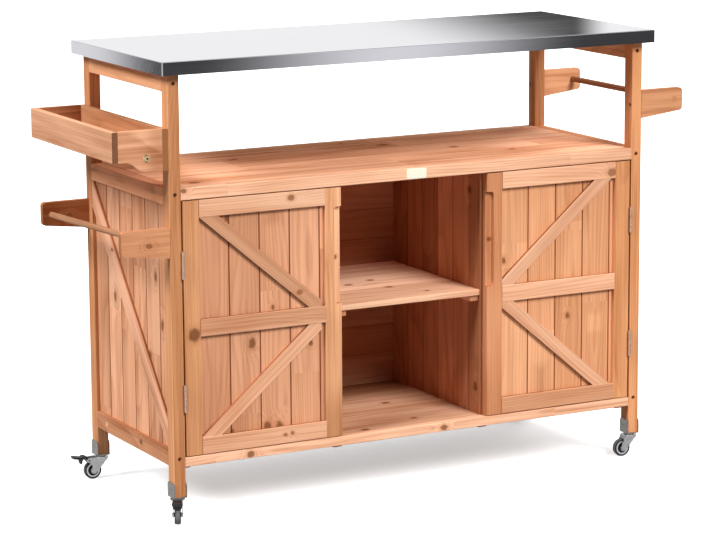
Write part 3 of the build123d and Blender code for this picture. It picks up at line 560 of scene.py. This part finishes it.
leftPlanks = dict(doorPlanks, shade=0.94, seams={"x": (-0.4805, 0.0675)},
    knots=[(-0.3167, -0.1865, 0.4176, 0.003), (-0.3639, -0.1865, 0.3476, 0.006),
        (-0.3316, -0.1865, 0.171, 0.007), (-0.3048, -0.1865, 0.1677, 0.0065),
        (-0.4114, -0.1865, 0.171, 0.0035), (-0.2317, -0.1865, 0.335, 0.0035),
        (-0.4172, -0.1865, 0.6071, 0.0035)],
    # the two left planks darker and the two right ones lighter, partly painted shade; a painted shadow
    # under the top rail on the third plank
    patches=[((-0.413, -0.182, 0.39), (0.0675, 0.02, 0.3), 0.92, cutEdge),
        ((-0.278, -0.182, 0.39), (0.0675, 0.02, 0.3), 1.05, cutEdge),
        ((-0.3118, -0.182, 0.65), (0.0337, 0.06, 0.075), 0.84, 0.03),
        ((-0.3792, -0.182, 0.53), (0.0337, 0.02, 0.12), 0.89, cutEdge)])
rightPlanks = dict(doorPlanks, seed=83, seams={"x": (0.216, 0.0675)}, shade=(1.09, 1.08, 1),
    knots=[(0.2239, -0.1865, 0.4616, 0.004), (0.3828, -0.1865, 0.3278, 0.004)],
    patches=[((0.3847, -0.182, 0.6), (0.0337, 0.02, 0.07), 0.9, cutEdge),
        ((0.4187, -0.182, 0.25), (0.0675, 0.02, 0.13), 0.92, 0.004),
        ((0.3172, -0.182, 0.15), (0.0337, 0.06, 0.095), 0.74, 0.045),
        ((0.3172, -0.182, 0.5), (0.0337, 0.02, 0.22), 1.06, 0.01),
        ((0.4522, -0.182, 0.53), (0.0337, 0.02, 0.12), 0.89, cutEdge),
        ((0.4512, -0.182, 0.305), (0.028, 0.02, 0.028), 1.14, 0.02)])
dressWood("door_left_planks", leftPlanks)
dressWood("door_right_planks", rightPlanks)
doorBraces = dict(order="xzy", tone="rail", seed=87, fold=0.39275, seams={"z": (0.39275, 5)}, figure=0.34,
    knotShare=0.02, streaks=0.8, patch=0.1, shade=(0.93, 0.915, 0.91))
dressWood("door_left_braces", doorBraces, turn=-40.25,
    knots=[(-0.2599, -0.1945, 0.4438, 0.0045)],
    patches=[edgeShadeAndStain, ((-0.34, -0.19, 0.59275), (0.2, 0.02, 0.2), 0.75, cutEdge)])
dressWood("door_right_braces", doorBraces, turn=40.25, seed=89,
    patches=[edgeShadeAndStain, ((0.34, -0.19, 0.19275), (0.2, 0.02, 0.2), 0.92, cutEdge)])

trayBoards = dict(order="yzx", tone="plank", seed=91, figure=0.25, knotShare=0.02, streaks=0.8)
# painted shade: the inner board, which faces the shaded inside of the tray, is kept darker than the outer
# one
dressWood("tray_inner_board", trayBoards, endDepth=0.12, shade=(0.69, 0.69, 0.61))
dressWood("tray_outer_board", trayBoards, seed=94.3, figure=0.18, endDepth=0.95, shade=(1, 1.05, 1.1))
trayEnds = dict(order="xzy", tone="plank", seed=95, seams={"y": (0, 5)}, figure=0.45, knotShare=0,
    shade=0.95,
    # painted shade on the rear end, which faces the shaded inside of the tray, and on the front end next to
    # the post
    patches=[((-0.6, 0.22, 0.76), (0.1, 0.02, 0.1), 0.6, cutEdge),
        ((-0.54, -0.2, 0.76), (0.065, 0.1, 0.2), 0.75, 0.04)])
dressWood("tray_ends", trayEnds)
trayBottom = dict(order="yxz", tone="plank", seed=97)
dressWood("tray_bottom", trayBottom)
towelArms = dict(order="xzy", tone="stile", seed=101, seams=dict(bothEnds, y=(0, 5)), figure=0.4,
    knotShare=0.02, shade=(0.92, 0.95, 1.06),
    knots=[(-0.5895, -0.1955, 0.5683, 0.0042)],
    # painted shade on the rear left arm
    patches=[((-0.6, 0.22, 0.57), (0.1, 0.04, 0.1), 0.62, cutEdge),
        ((-0.6, -0.22, 0.57), (0.1, 0.04, 0.1), 0.93, cutEdge)])
towelRods = dict(order="yxz", tone="stile", seed=103, seams=bothEnds, figure=0.3, knotShare=0,
    shade=(0.59, 0.61, 0.69), endShade=(1.15, 1.25, 1.5), endDepth=0,
    patches=[((0.6, 0, 0.7), (0.2, 0.5, 0.3), 0.78, cutEdge)])
dressWood("towel_arms", towelArms)
dressWood("towel_rods", towelRods)
print("timber dressed")

noiseBand = (0.3, 0.7)  # where most of a noise lies
plainMetal = dict(fineness=3, streak=0, bumpDepth=0.0001)


def metalMaterial(name, ownLook):
    look = dict(plainMetal, **ownLook)
    material, shader, place = newMaterial(name)
    own = {label.capitalize(): look[label] for label in ("stretch", "fineness", "clouds")}
    metal = useGroup(drawnMetal, Point=place["Object"], **own)
    even = scaled(metal["Lines"], 0.5, times(metal["Wear"], 0.5))
    link(fade(even, *noiseBand, *look["rough"]), shader.inputs["Roughness"])
    dark, light = look["colours"]
    pale = scaled(metal["Lines"], look["streak"], times(metal["Wear"], 1 - look["streak"]))
    link(mixColour(pale, dark + (1,), light + (1,)), shader.inputs["Base Color"])
    shader.inputs["Metallic"].default_value = 1
    addBump(shader, metal["Lines"], look["bump"], look["bumpDepth"])
    return material


steelTop = dict(stretch=(1.2, 130, 130), fineness=6, clouds=3, rough=(0.025, 0.055), bump=0.02, streak=0.6,
    colours=((0.58, 0.58, 0.625), (0.71, 0.71, 0.755)))
dress(metalMaterial("brushedSteel", steelTop), "steel_top")
zinc = dict(stretch=(60, 60, 60), clouds=160, rough=(0.22, 0.34), bump=0.03,
    colours=((0.62, 0.62, 0.64), (0.73, 0.73, 0.74)))
dress(metalMaterial("zincPlate", zinc), "caster_front_left_fork", "caster_rear_left_fork",
      "caster_front_right_fork", "caster_rear_right_fork")
# painted shade: the brackets get a darker zinc than the forks, for the shade under the cabinet
shadeDarkZinc = dict(zinc, colours=((0.32, 0.3, 0.285), (0.43, 0.41, 0.39)))
dress(metalMaterial("shadeDarkZinc", shadeDarkZinc), "caster_brackets")
# the warm tint is a painted reflection of the wood round the hinges
hingeSteel = dict(stretch=(500, 500, 20), clouds=120, rough=(0.2, 0.34), bump=0.05,
    colours=((0.6, 0.44, 0.34), (0.82, 0.61, 0.48)))
dress(metalMaterial("hingePlate", hingeSteel), "hinge_post_leaves", "hinge_pins", "door_left_hinge_leaves",
      "door_right_hinge_leaves", "door_left_strike", "door_right_strike")
# the warm tint is partly a painted reflection of the wood round the bolts
chrome = dict(stretch=(90, 90, 90), clouds=200, rough=(0.06, 0.12), bump=0.02,
    colours=((0.72, 0.54, 0.3), (0.86, 0.68, 0.42)))
boltChrome = metalMaterial("boltChrome", chrome)
dress(boltChrome, "tray_bolts")
screwSteel = dict(stretch=(200, 200, 200), clouds=300, rough=(0.3, 0.5), bump=0.1,
    colours=((0.2, 0.19, 0.18), (0.34, 0.33, 0.31)))
dress(metalMaterial("screwSteel", screwSteel), "frame_screws", "short_screws", "door_left_screws",
      "door_right_screws")


# a paler colour goes on the columns that the mesh marks as its band, a little thinner where the grain noise
# is low
def plasticMaterial(name, look):
    bumpDepth, paleFrom, paleTo, paleLeast = 0.0003, 0.2, 0.6, 0.7
    material, shader, place = newMaterial(name)
    grain = noise(place["Object"], look["grain"], 3)["Fac"]
    dark, light = look["colours"]
    colour = mixColour(grain, dark + (1,), light + (1,))
    if "paleTread" in look:
        mark = material.node_tree.nodes.new("ShaderNodeAttribute")
        mark.attribute_name = "band"
        paled = times(mark.outputs["Fac"], fade(grain, paleFrom, paleTo, paleLeast, 1))
        colour = mixColour(paled, colour, look["paleTread"] + (1,))
    link(colour, shader.inputs["Base Color"])
    link(fade(grain, *noiseBand, *look["rough"]), shader.inputs["Roughness"])
    addBump(shader, grain, look["bump"], bumpDepth)
    return material


pedalLook = dict(grain=900, rough=(0.35, 0.5), bump=0.2,
    colours=((0.008, 0.008, 0.008), (0.02, 0.02, 0.02)))
pedalPlastic = plasticMaterial("pedalPlastic", pedalLook)
dress(pedalPlastic, "caster_front_left_pedal", "caster_rear_left_pedal")
catches = dict(grain=700, rough=(0.4, 0.55), bump=0.15, colours=((0.3, 0.16, 0.08), (0.36, 0.2, 0.11)))
dress(plasticMaterial("catchPlastic", catches), "door_catches")
coreBoard = dict(grain=260, rough=(0.7, 0.9), bump=0.5, colours=((0.33, 0.22, 0.13), (0.46, 0.33, 0.21)))
dress(plasticMaterial("coreBoard", coreBoard), "top_core")
print("metal and plastic dressed")

meshing = dict(weld=1e-6, sharpAngle=38)


# a surface over a grid of points: rows close on themselves, columns only where the profile is a loop; band
# marks the columns that are worn
def gridPiece(name, grid, material, body, looped=False, band=None):
    rows, columns = grid.shape[:2]
    across = np.arange(columns if looped else columns - 1)
    row, column = np.meshgrid(np.arange(rows), across, indexing="ij")
    nextRow, nextColumn = (row + 1) % rows, (column + 1) % columns
    corners = [row * columns + column, nextRow * columns + column,
               nextRow * columns + nextColumn, row * columns + nextColumn]
    faces = np.stack(corners, axis=-1).reshape(-1, 4)
    mesh = bpy.data.meshes.new(name)
    mesh.from_pydata(grid.reshape(-1, 3).tolist(), [], faces.tolist())
    if band is not None:
        mesh.attributes.new("band", "FLOAT", "POINT").data.foreach_set("value", np.tile(band, rows))
    shell = bmesh.new()
    shell.from_mesh(mesh)
    bmesh.ops.remove_doubles(shell, verts=shell.verts, dist=meshing["weld"])
    bmesh.ops.recalc_face_normals(shell, faces=shell.faces)
    shell.to_mesh(mesh)
    shell.free()
    mesh.polygons.foreach_set("use_smooth", np.ones(len(mesh.polygons), dtype=bool))
    mesh.set_sharp_from_angle(angle=radians(meshing["sharpAngle"]))
    mesh.materials.append(material)
    piece = newObject(name, mesh)
    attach(piece, body)
    return piece


# a profile of radius and height turned about an axis: the angle runs along rows, the profile along columns
def turnedGrid(radius, height, centre, axis, count):
    upright = 0.9
    axis = np.array(axis) / np.linalg.norm(axis)
    side = np.cross(axis, (0, 0, 1)) if abs(axis[2]) < upright else np.array((1, 0, 0))
    side = side / np.linalg.norm(side)
    angle = np.linspace(0, 2 * np.pi, count, endpoint=False)[:, None, None]
    ring = np.cos(angle) * side + np.sin(angle) * np.cross(axis, side)
    return np.array(centre) + ring * radius[None, :, None] + axis * height[None, :, None]


# the cosine raised to a power with its sign kept, which squares off an ellipse
def squared(turn, power):
    return np.sign(np.cos(turn)) * np.abs(np.cos(turn)) ** power


def jointNamed(name):
    return next(entry for entry in frame["joints"] if entry["name"] == name)


# wheels: a rubber tyre with a paler middle to its tread, a plated rim inside it, and a sunk black centre
# with a boss for the axle
wheel = dict(tread=0.019, seat=0.0153, halfWidth=0.0064, squareness=2.7, paleShare=0.62, paleFade=4,
    rimInner=0.011, rimOuter=0.0158, rimHalf=0.0056, rimSquareness=3.2, coreOuter=0.0114, coreHalf=0.003,
    dish=0.0009, bore=0.0022, boss=0.0079, bossEnd=0.0052, bossEdge=0.00015, steps=56, sectionSteps=48,
    coreSteps=46)
tyreLook = dict(grain=500, rough=(0.5, 0.7), bump=0.2, paleTread=(0.14, 0.14, 0.147),
    colours=((0.015, 0.015, 0.016), (0.035, 0.035, 0.037)))
rimPlate = dict(stretch=(60, 60, 60), clouds=160, rough=(0.36, 0.46), bump=0.04,
    colours=((0.88, 0.88, 0.89), (0.97, 0.97, 0.97)))


# tyre and rim have squared ellipses for sections; the centre's half thickness dips a little between its
# edge and the boss, which rises over it in a steep step
def makeWheel(corner, rubber, plate, plastic):
    joint = jointNamed(corner + "_roll")
    place, axis, steps = joint["pos_m"], joint["axis"], wheel["steps"]
    body = "wheel_" + corner
    turn = np.linspace(0, 2 * np.pi, wheel["sectionSteps"], endpoint=False)

    def ring(name, inner, outer, half, squareness, material, slot, band=None):
        wide = half * squared(turn - np.pi / 2, 2 / squareness)
        radius = (outer + inner) / 2 + (outer - inner) / 2 * squared(turn, 2 / squareness)
        grid = turnedGrid(radius, wide, place, axis, steps)
        return gridPiece(name + corner, grid, material, body, True, band)

    across = np.abs(np.sin(turn)) / wheel["paleShare"]
    paleTread = (np.cos(turn) > 0) * np.clip(wheel["paleFade"] * (1 - across), 0, 1)
    tyre = ring("tyre_", wheel["seat"], wheel["tread"], wheel["halfWidth"], wheel["squareness"], rubber,
                "wheel_rubber", paleTread)
    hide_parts("caster_" + corner + "_wheel")
    ring("wheel_rim_", wheel["rimInner"], wheel["rimOuter"], wheel["rimHalf"], wheel["rimSquareness"],
         plate, "caster_steel")
    out = np.linspace(wheel["bore"], wheel["coreOuter"], wheel["coreSteps"])
    share = (out - wheel["bossEnd"]) / (wheel["coreOuter"] - wheel["bossEnd"])
    dish = wheel["dish"] * np.sin(np.pi * np.clip(share, 0, 1))
    boss = (wheel["boss"] - wheel["coreHalf"]) / (1 + np.exp((out - wheel["bossEnd"]) / wheel["bossEdge"]))
    half = wheel["coreHalf"] - dish + boss
    radius, height = np.concatenate([out, out[::-1]]), np.concatenate([half, -half[::-1]])
    gridPiece("wheel_core_" + corner, turnedGrid(radius, height, place, axis, steps), plastic, body,
              True)


tyreRubber = plasticMaterial("tyreRubber", tyreLook)
rimMetal = metalMaterial("wheelRim", rimPlate)
for cornerName in ("front_left", "rear_left", "front_right", "rear_right"):
    makeWheel(cornerName, tyreRubber, rimMetal, pedalPlastic)
print("wheels built")

# brake pedals, measured from their pivot: out along the caster's tail, up, and half widths
pedal = dict(hub=0.0045, hubHalf=0.0079, pin=0.0018, pinHalf=0.0098, bevel=0.0004, nose=0.0022,
    noseDrop=0.0038, noseHalf=0.006, archMiddle=(0.0088, -0.0015), archReach=(0.0072, 0.01),
    archTurn=(-0.3, 3.75), archHalf=(0.0058, 0.0115, 0.0065), archPlaces=(0.2, 0.65, 1), archThick=0.0022,
    toe=((0.0125, 0.005), (0.0345, 0.009)), toeHalf=(0.0085, 0.0112), toePlaces=(0, 0.5), toeThick=0.0027,
    planPower=16, endPower=40, sectionPower=0.5, steps=60, sectionSteps=40, hubSteps=40, noseSteps=32)


# a band carried along a path that runs out and up from the pivot; its section is a squared ellipse that
# closes to a point at both ends
def sweptGrid(out, up, wide, thick, place, tail, axis):
    slope = np.stack([np.gradient(out), np.gradient(up)])
    slope = slope / np.linalg.norm(slope, axis=0)
    turn = np.linspace(0, 2 * np.pi, pedal["sectionSteps"], endpoint=False)[:, None]
    side = wide * squared(turn, pedal["sectionPower"])
    face = thick * squared(turn - np.pi / 2, pedal["sectionPower"])
    runOut, runUp = out - slope[1] * face, up + slope[0] * face
    path = np.array(place) + runOut[..., None] * tail + runUp[..., None] * np.array((0, 0, 1))
    return path + side[..., None] * axis


# shares of a length crowd towards its ends, where the band's width and thickness fall off in high powers
def makePedal(corner, plastic):
    joint = jointNamed(corner + "_brake")
    place, axis = np.array(joint["pos_m"]), np.array(joint["axis"])
    tail = place - np.array(jointNamed(corner + "_swivel")["pos_m"])
    tail = tail * (1, 1, 0) / np.linalg.norm(tail[:2])
    body = "brake_" + corner
    share = (1 - np.cos(np.linspace(0, np.pi, pedal["steps"]))) / 2
    fromMiddle = np.abs(2 * share - 1)
    plan, blunt = ((1 - fromMiddle ** pedal[power]) ** 0.5 for power in ("planPower", "endPower"))

    (startOut, startUp), (endOut, endUp) = pedal["toe"]
    toeOut, toeUp = startOut + (endOut - startOut) * share, startUp + (endUp - startUp) * share
    toeHalf = np.interp(share, pedal["toePlaces"], pedal["toeHalf"])
    toeGrid = sweptGrid(toeOut, toeUp, toeHalf * plan, pedal["toeThick"] * blunt, place, tail, axis)
    toe = gridPiece("pedal_toe_" + corner, toeGrid, plastic, body)
    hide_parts("caster_" + corner + "_pedal")

    swing = pedal["archTurn"][0] + (pedal["archTurn"][1] - pedal["archTurn"][0]) * share
    archOut = pedal["archMiddle"][0] - pedal["archReach"][0] * np.cos(swing)
    archUp = pedal["archMiddle"][1] + pedal["archReach"][1] * np.sin(swing)
    archHalf = np.interp(share, pedal["archPlaces"], pedal["archHalf"])
    arch = sweptGrid(archOut, archUp, archHalf * plan, pedal["archThick"] * blunt, place, tail, axis)
    gridPiece("pedal_arch_" + corner, arch, plastic, body)

    hub, pin, bevel = pedal["hub"], pedal["pin"], pedal["bevel"]
    pinHalf, hubHalf = pedal["pinHalf"], pedal["hubHalf"]
    radius = np.array([0, pin - bevel, pin, pin, hub - bevel, hub])
    height = np.array([pinHalf, pinHalf, pinHalf - bevel, hubHalf, hubHalf, hubHalf - bevel])
    radius, height = np.concatenate([radius, radius[::-1]]), np.concatenate([height, -height[::-1]])
    hubGrid = turnedGrid(radius, height, place, axis, pedal["hubSteps"])
    gridPiece("pedal_hub_" + corner, hubGrid, plastic, body)
    below = place - (0, 0, pedal["noseDrop"])
    noseGrid = turnedGrid(pedal["nose"] * blunt, pedal["noseHalf"] * (2 * share - 1), below, axis,
                          pedal["noseSteps"])
    gridPiece("pedal_nose_" + corner, noseGrid, plastic, body)


for cornerName in ("front_left", "rear_left"):
    makePedal(cornerName, pedalPlastic)
print("pedals built")

# bare plate on the worktop's front rail
plate = dict(middle=0.0103, width=0.046, height=0.0215, thick=0.0012, edge=0.0004, squareness=10, steps=96,
    edgeSteps=6)
plateLook = dict(grain=420, rough=(0.35, 0.5), bump=0.05, colours=((0.86, 0.83, 0.64), (0.96, 0.94, 0.78)))


# the outline is a squared ellipse, drawn in towards its middle as it comes forward over the rounded edge
def makePlate():
    low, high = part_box("worktop_front_rail")
    turn = np.linspace(0, 2 * np.pi, plate["steps"], endpoint=False)
    power, edge, thick = 2 / plate["squareness"], plate["edge"], plate["thick"]
    outX = squared(turn, power) * plate["width"] / 2
    outZ = squared(turn - np.pi / 2, power) * plate["height"] / 2
    bend = np.linspace(0, np.pi / 2, plate["edgeSteps"])
    scale = np.concatenate([[0, 1], 1 - 2 * edge / plate["height"] * (1 - np.cos(bend)), [0.5, 0]])
    ahead = np.concatenate([[0, 0], thick - edge * (1 - np.sin(bend)), [thick, thick]])
    grid = np.empty((len(turn), len(scale), 3))
    grid[..., 0] = plate["middle"] + outX[:, None] * scale
    grid[..., 1] = low[1] - ahead
    grid[..., 2] = (low[2] + high[2]) / 2 + outZ[:, None] * scale
    gridPiece("bare_plate", grid, plasticMaterial("platePaint", plateLook), "cabinet")


makePlate()

# wooden plugs over the side rails' bolts; places are Y and Z
plug = dict(radius=0.0055, rise=0.0009, stem=0.002, places=[(-0.105, 0.66), (0.1436, 0.131)], steps=32,
    domeSteps=10)
plugWood = dict(order="yzx", tone="rail", seed=111, figure=0.2, knotShare=0)


# a quarter ellipse turned about the bolt makes a low dome, with a short stem behind it
def makePlugs():
    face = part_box("side_top_rails")[0][0]
    bend = np.linspace(0, np.pi / 2, plug["domeSteps"])
    radius = np.concatenate([plug["radius"] * np.sin(bend), [plug["radius"], 0]])
    height = np.concatenate([plug["rise"] * np.cos(bend), [-plug["stem"], -plug["stem"]]])
    for step, (y, z) in enumerate(plug["places"]):
        grid = turnedGrid(radius, height, (face, y, z), (-1, 0, 0), plug["steps"])
        corners = grid.reshape(-1, 3)
        box = (corners.min(axis=0), corners.max(axis=0))
        material = woodMaterial("plugWood" + str(step), plugWood, box)
        gridPiece("rail_plug_" + str(step), grid, material, "cabinet")


makePlugs()
print("plate and plugs built")

# washers under the tray's domed bolts
washer = dict(hole=0.004, radius=0.0082, thick=0.0011, edge=0.0005, steps=48, edgeSteps=7)


# a flat ring turned about the bolt, with a quarter round on its outer edge
def makeWashers():
    low, high = (np.array(corner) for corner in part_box("tray_bolts"))
    middle = (low + high) / 2
    hole, rim, thick, edge = (washer[name] for name in ("hole", "radius", "thick", "edge"))
    bend = np.linspace(0, np.pi / 2, washer["edgeSteps"])
    radius = np.concatenate([[hole, rim], rim - edge * (1 - np.cos(bend)), [hole]])
    height = np.concatenate([[0, 0], thick - edge * (1 - np.sin(bend)), [thick]])
    faces = {"front": (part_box("tray_ends")[0][1], -1), "rear": (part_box("tray_ends")[1][1], 1)}
    for end, (face, way) in faces.items():
        grid = turnedGrid(radius, height, (middle[0], face, middle[2]), (0, way, 0), washer["steps"])
        gridPiece("bolt_washer_" + end, grid, boltChrome, "cabinet", looped=True)


makeWashers()
print("washers built")

floorLook = dict(half=45, seen=0.9, bounce=0.25, lift=0.5, rough=0.8)


# bright to the eye, and a darker grey to the light that it throws back up
def makeFloor():
    material, shader = newMaterial("paleFloor")[:2]
    path = material.node_tree.nodes.new("ShaderNodeLightPath").outputs
    seen, bounce, half = floorLook["seen"], floorLook["bounce"], floorLook["half"]
    tone = mixColour(path["Is Camera Ray"], (bounce, bounce, bounce, 1), (seen, seen, seen, 1))
    link(tone, shader.inputs["Base Color"])
    shader.inputs["Roughness"].default_value = floorLook["rough"]
    shader.inputs["Specular IOR Level"].default_value = 0
    shader.inputs["Emission Color"].default_value = (1, 1, 1, 1)
    glow = times(path["Is Camera Ray"], floorLook["lift"])
    link(glow, shader.inputs["Emission Strength"])
    mesh = bpy.data.meshes.new("floor")
    corners = [(-half, -half, 0), (half, -half, 0), (half, half, 0), (-half, half, 0)]
    mesh.from_pydata(corners, [], [(0, 1, 2, 3)])
    mesh.materials.append(material)
    floor = newObject("floor", mesh)
    floor.visible_glossy = False


makeFloor()

# suns: bearing from the front towards the right and height, in degrees, strength and softness; polished
# metal mirrors the panels below instead of them
suns = {"front": {"bearing": 12, "height": 40, "power": 3.38, "spread": 27},
        "left": {"bearing": -86, "height": 43, "power": 3.5, "spread": 24},
        "back": {"bearing": 112, "height": 32, "power": 1.6, "spread": 40}}
# light panels that only polished metal mirrors; each gap between them is clear, dark, dark and clear again
# at four bearings in degrees from the back towards the right, and its first side leans as the height grows
# past a middle; upper gaps show in the top, lower ones in its edges
sky = dict(ambient=0.02, panel=1.03, lowPanel=1, overhead=0.5, dimming=(9, 30), ripple=0.28, ripples=4,
    ripplePhase=-167, gapDepth=0.93, horizon=0.02, upperMiddle=6.1,
    upperGaps=[(28.55, 32.2, 32.35, 33.15, 2.9)], lowerMiddle=-6,
    lowerGaps=[(151.2, 155.2, 158, 162, 0), (141, 144.5, 147.4, 151, 0), (-28, -25.5, -24.1, -22.7, 0),
        (-38, -36, -31.5, -29.5, 0)])


def makeSky():
    world = bpy.data.worlds.new("studio")
    bpy.context.scene.world = world
    world.use_nodes = True
    tree = world.node_tree
    back = tree.nodes["Background"]
    back.inputs[0].default_value = (1, 1, 1, 1)
    way = split(tree.nodes.new("ShaderNodeTexCoord").outputs["Generated"])
    bearing = calc("ARCTAN2", way[0], way[1])
    height = calc("ARCSINE", way[2])

    def between(factor, first, second):
        return put("ShaderNodeMix", {0: factor, 2: first, 3: second}).outputs[0]

    def panels(light, gaps, middle):
        for *angles, lean in gaps:
            clear, dark, darkEnd, clearEnd = (radians(angle) for angle in angles)
            tilt = times(minus(height, radians(middle)), lean)
            into = fade(minus(bearing, tilt), clear, dark)
            shadow = times(into, fade(bearing, darkEnd, clearEnd, 1, 0))
            light = times(light, scaled(shadow, -sky["gapDepth"], 1))
        return light

    wave = calc("SINE", scaled(bearing, sky["ripples"], radians(sky["ripplePhase"])))
    dim = scaled(wave, sky["ripple"], sky["overhead"])
    low = scaled(wave, sky["ripple"], sky["lowPanel"] - sky["ripple"])
    high = fade(height, *(radians(angle) for angle in sky["dimming"]))
    upper = panels(between(high, sky["panel"], dim), sky["upperGaps"], sky["upperMiddle"])
    lower = panels(low, sky["lowerGaps"], sky["lowerMiddle"])
    above = fade(height, -sky["horizon"], sky["horizon"])
    mirrored = plus(times(above, upper), times(minus(1, above), lower))
    path = tree.nodes.new("ShaderNodeLightPath").outputs
    level = between(path["Is Glossy Ray"], sky["ambient"], mirrored)
    link(between(path["Is Camera Ray"], level, 1), back.inputs[1])


def makeSun(name, look):
    sun = bpy.data.lights.new(name, "SUN")
    sun.energy = look["power"]
    sun.angle = radians(look["spread"])
    holder = newObject(name, sun)
    turn, rise = radians(look["bearing"]), radians(look["height"])
    towards = Vector((sin(turn) * cos(rise), -cos(turn) * cos(rise), sin(rise)))
    holder.visible_glossy = False
    holder.rotation_mode = "QUATERNION"
    holder.rotation_quaternion = (-towards).to_track_quat("-Z", "Y")


makeSky()
for sunName, sunLook in suns.items():
    makeSun(sunName, sunLook)

# yaw from +Y towards +X, pitch up and roll in radians; focal length in pixels of the 716 wide frame
cameraLook = dict(yaw=0.4891, pitch=-0.1903, roll=-0.0063, focal=2867.29, frameWidth=716,
    place=(-2.82117, -5.2579, 1.58149), sensor=36, farEnd=200)


def makeCamera():
    yaw, pitch, roll = cameraLook["yaw"], cameraLook["pitch"], cameraLook["roll"]
    ahead = Vector((sin(yaw) * cos(pitch), cos(yaw) * cos(pitch), sin(pitch)))
    level = Vector((cos(yaw), -sin(yaw), 0))
    upright = level.cross(ahead)
    right = level * cos(roll) + upright * sin(roll)
    up = upright * cos(roll) - level * sin(roll)
    data = bpy.data.cameras.new("camera")
    data.sensor_width = cameraLook["sensor"]
    data.lens = cameraLook["focal"] / cameraLook["frameWidth"] * cameraLook["sensor"]
    data.clip_end = cameraLook["farEnd"]
    camera = newObject("camera", data)
    turn = Matrix((right, up, -ahead)).transposed()
    camera.matrix_world = Matrix.Translation(cameraLook["place"]) @ turn.to_4x4()
    bpy.context.scene.camera = camera


makeCamera()
bpy.context.scene.view_settings.view_transform = "Standard"
print("stage, light and camera set")
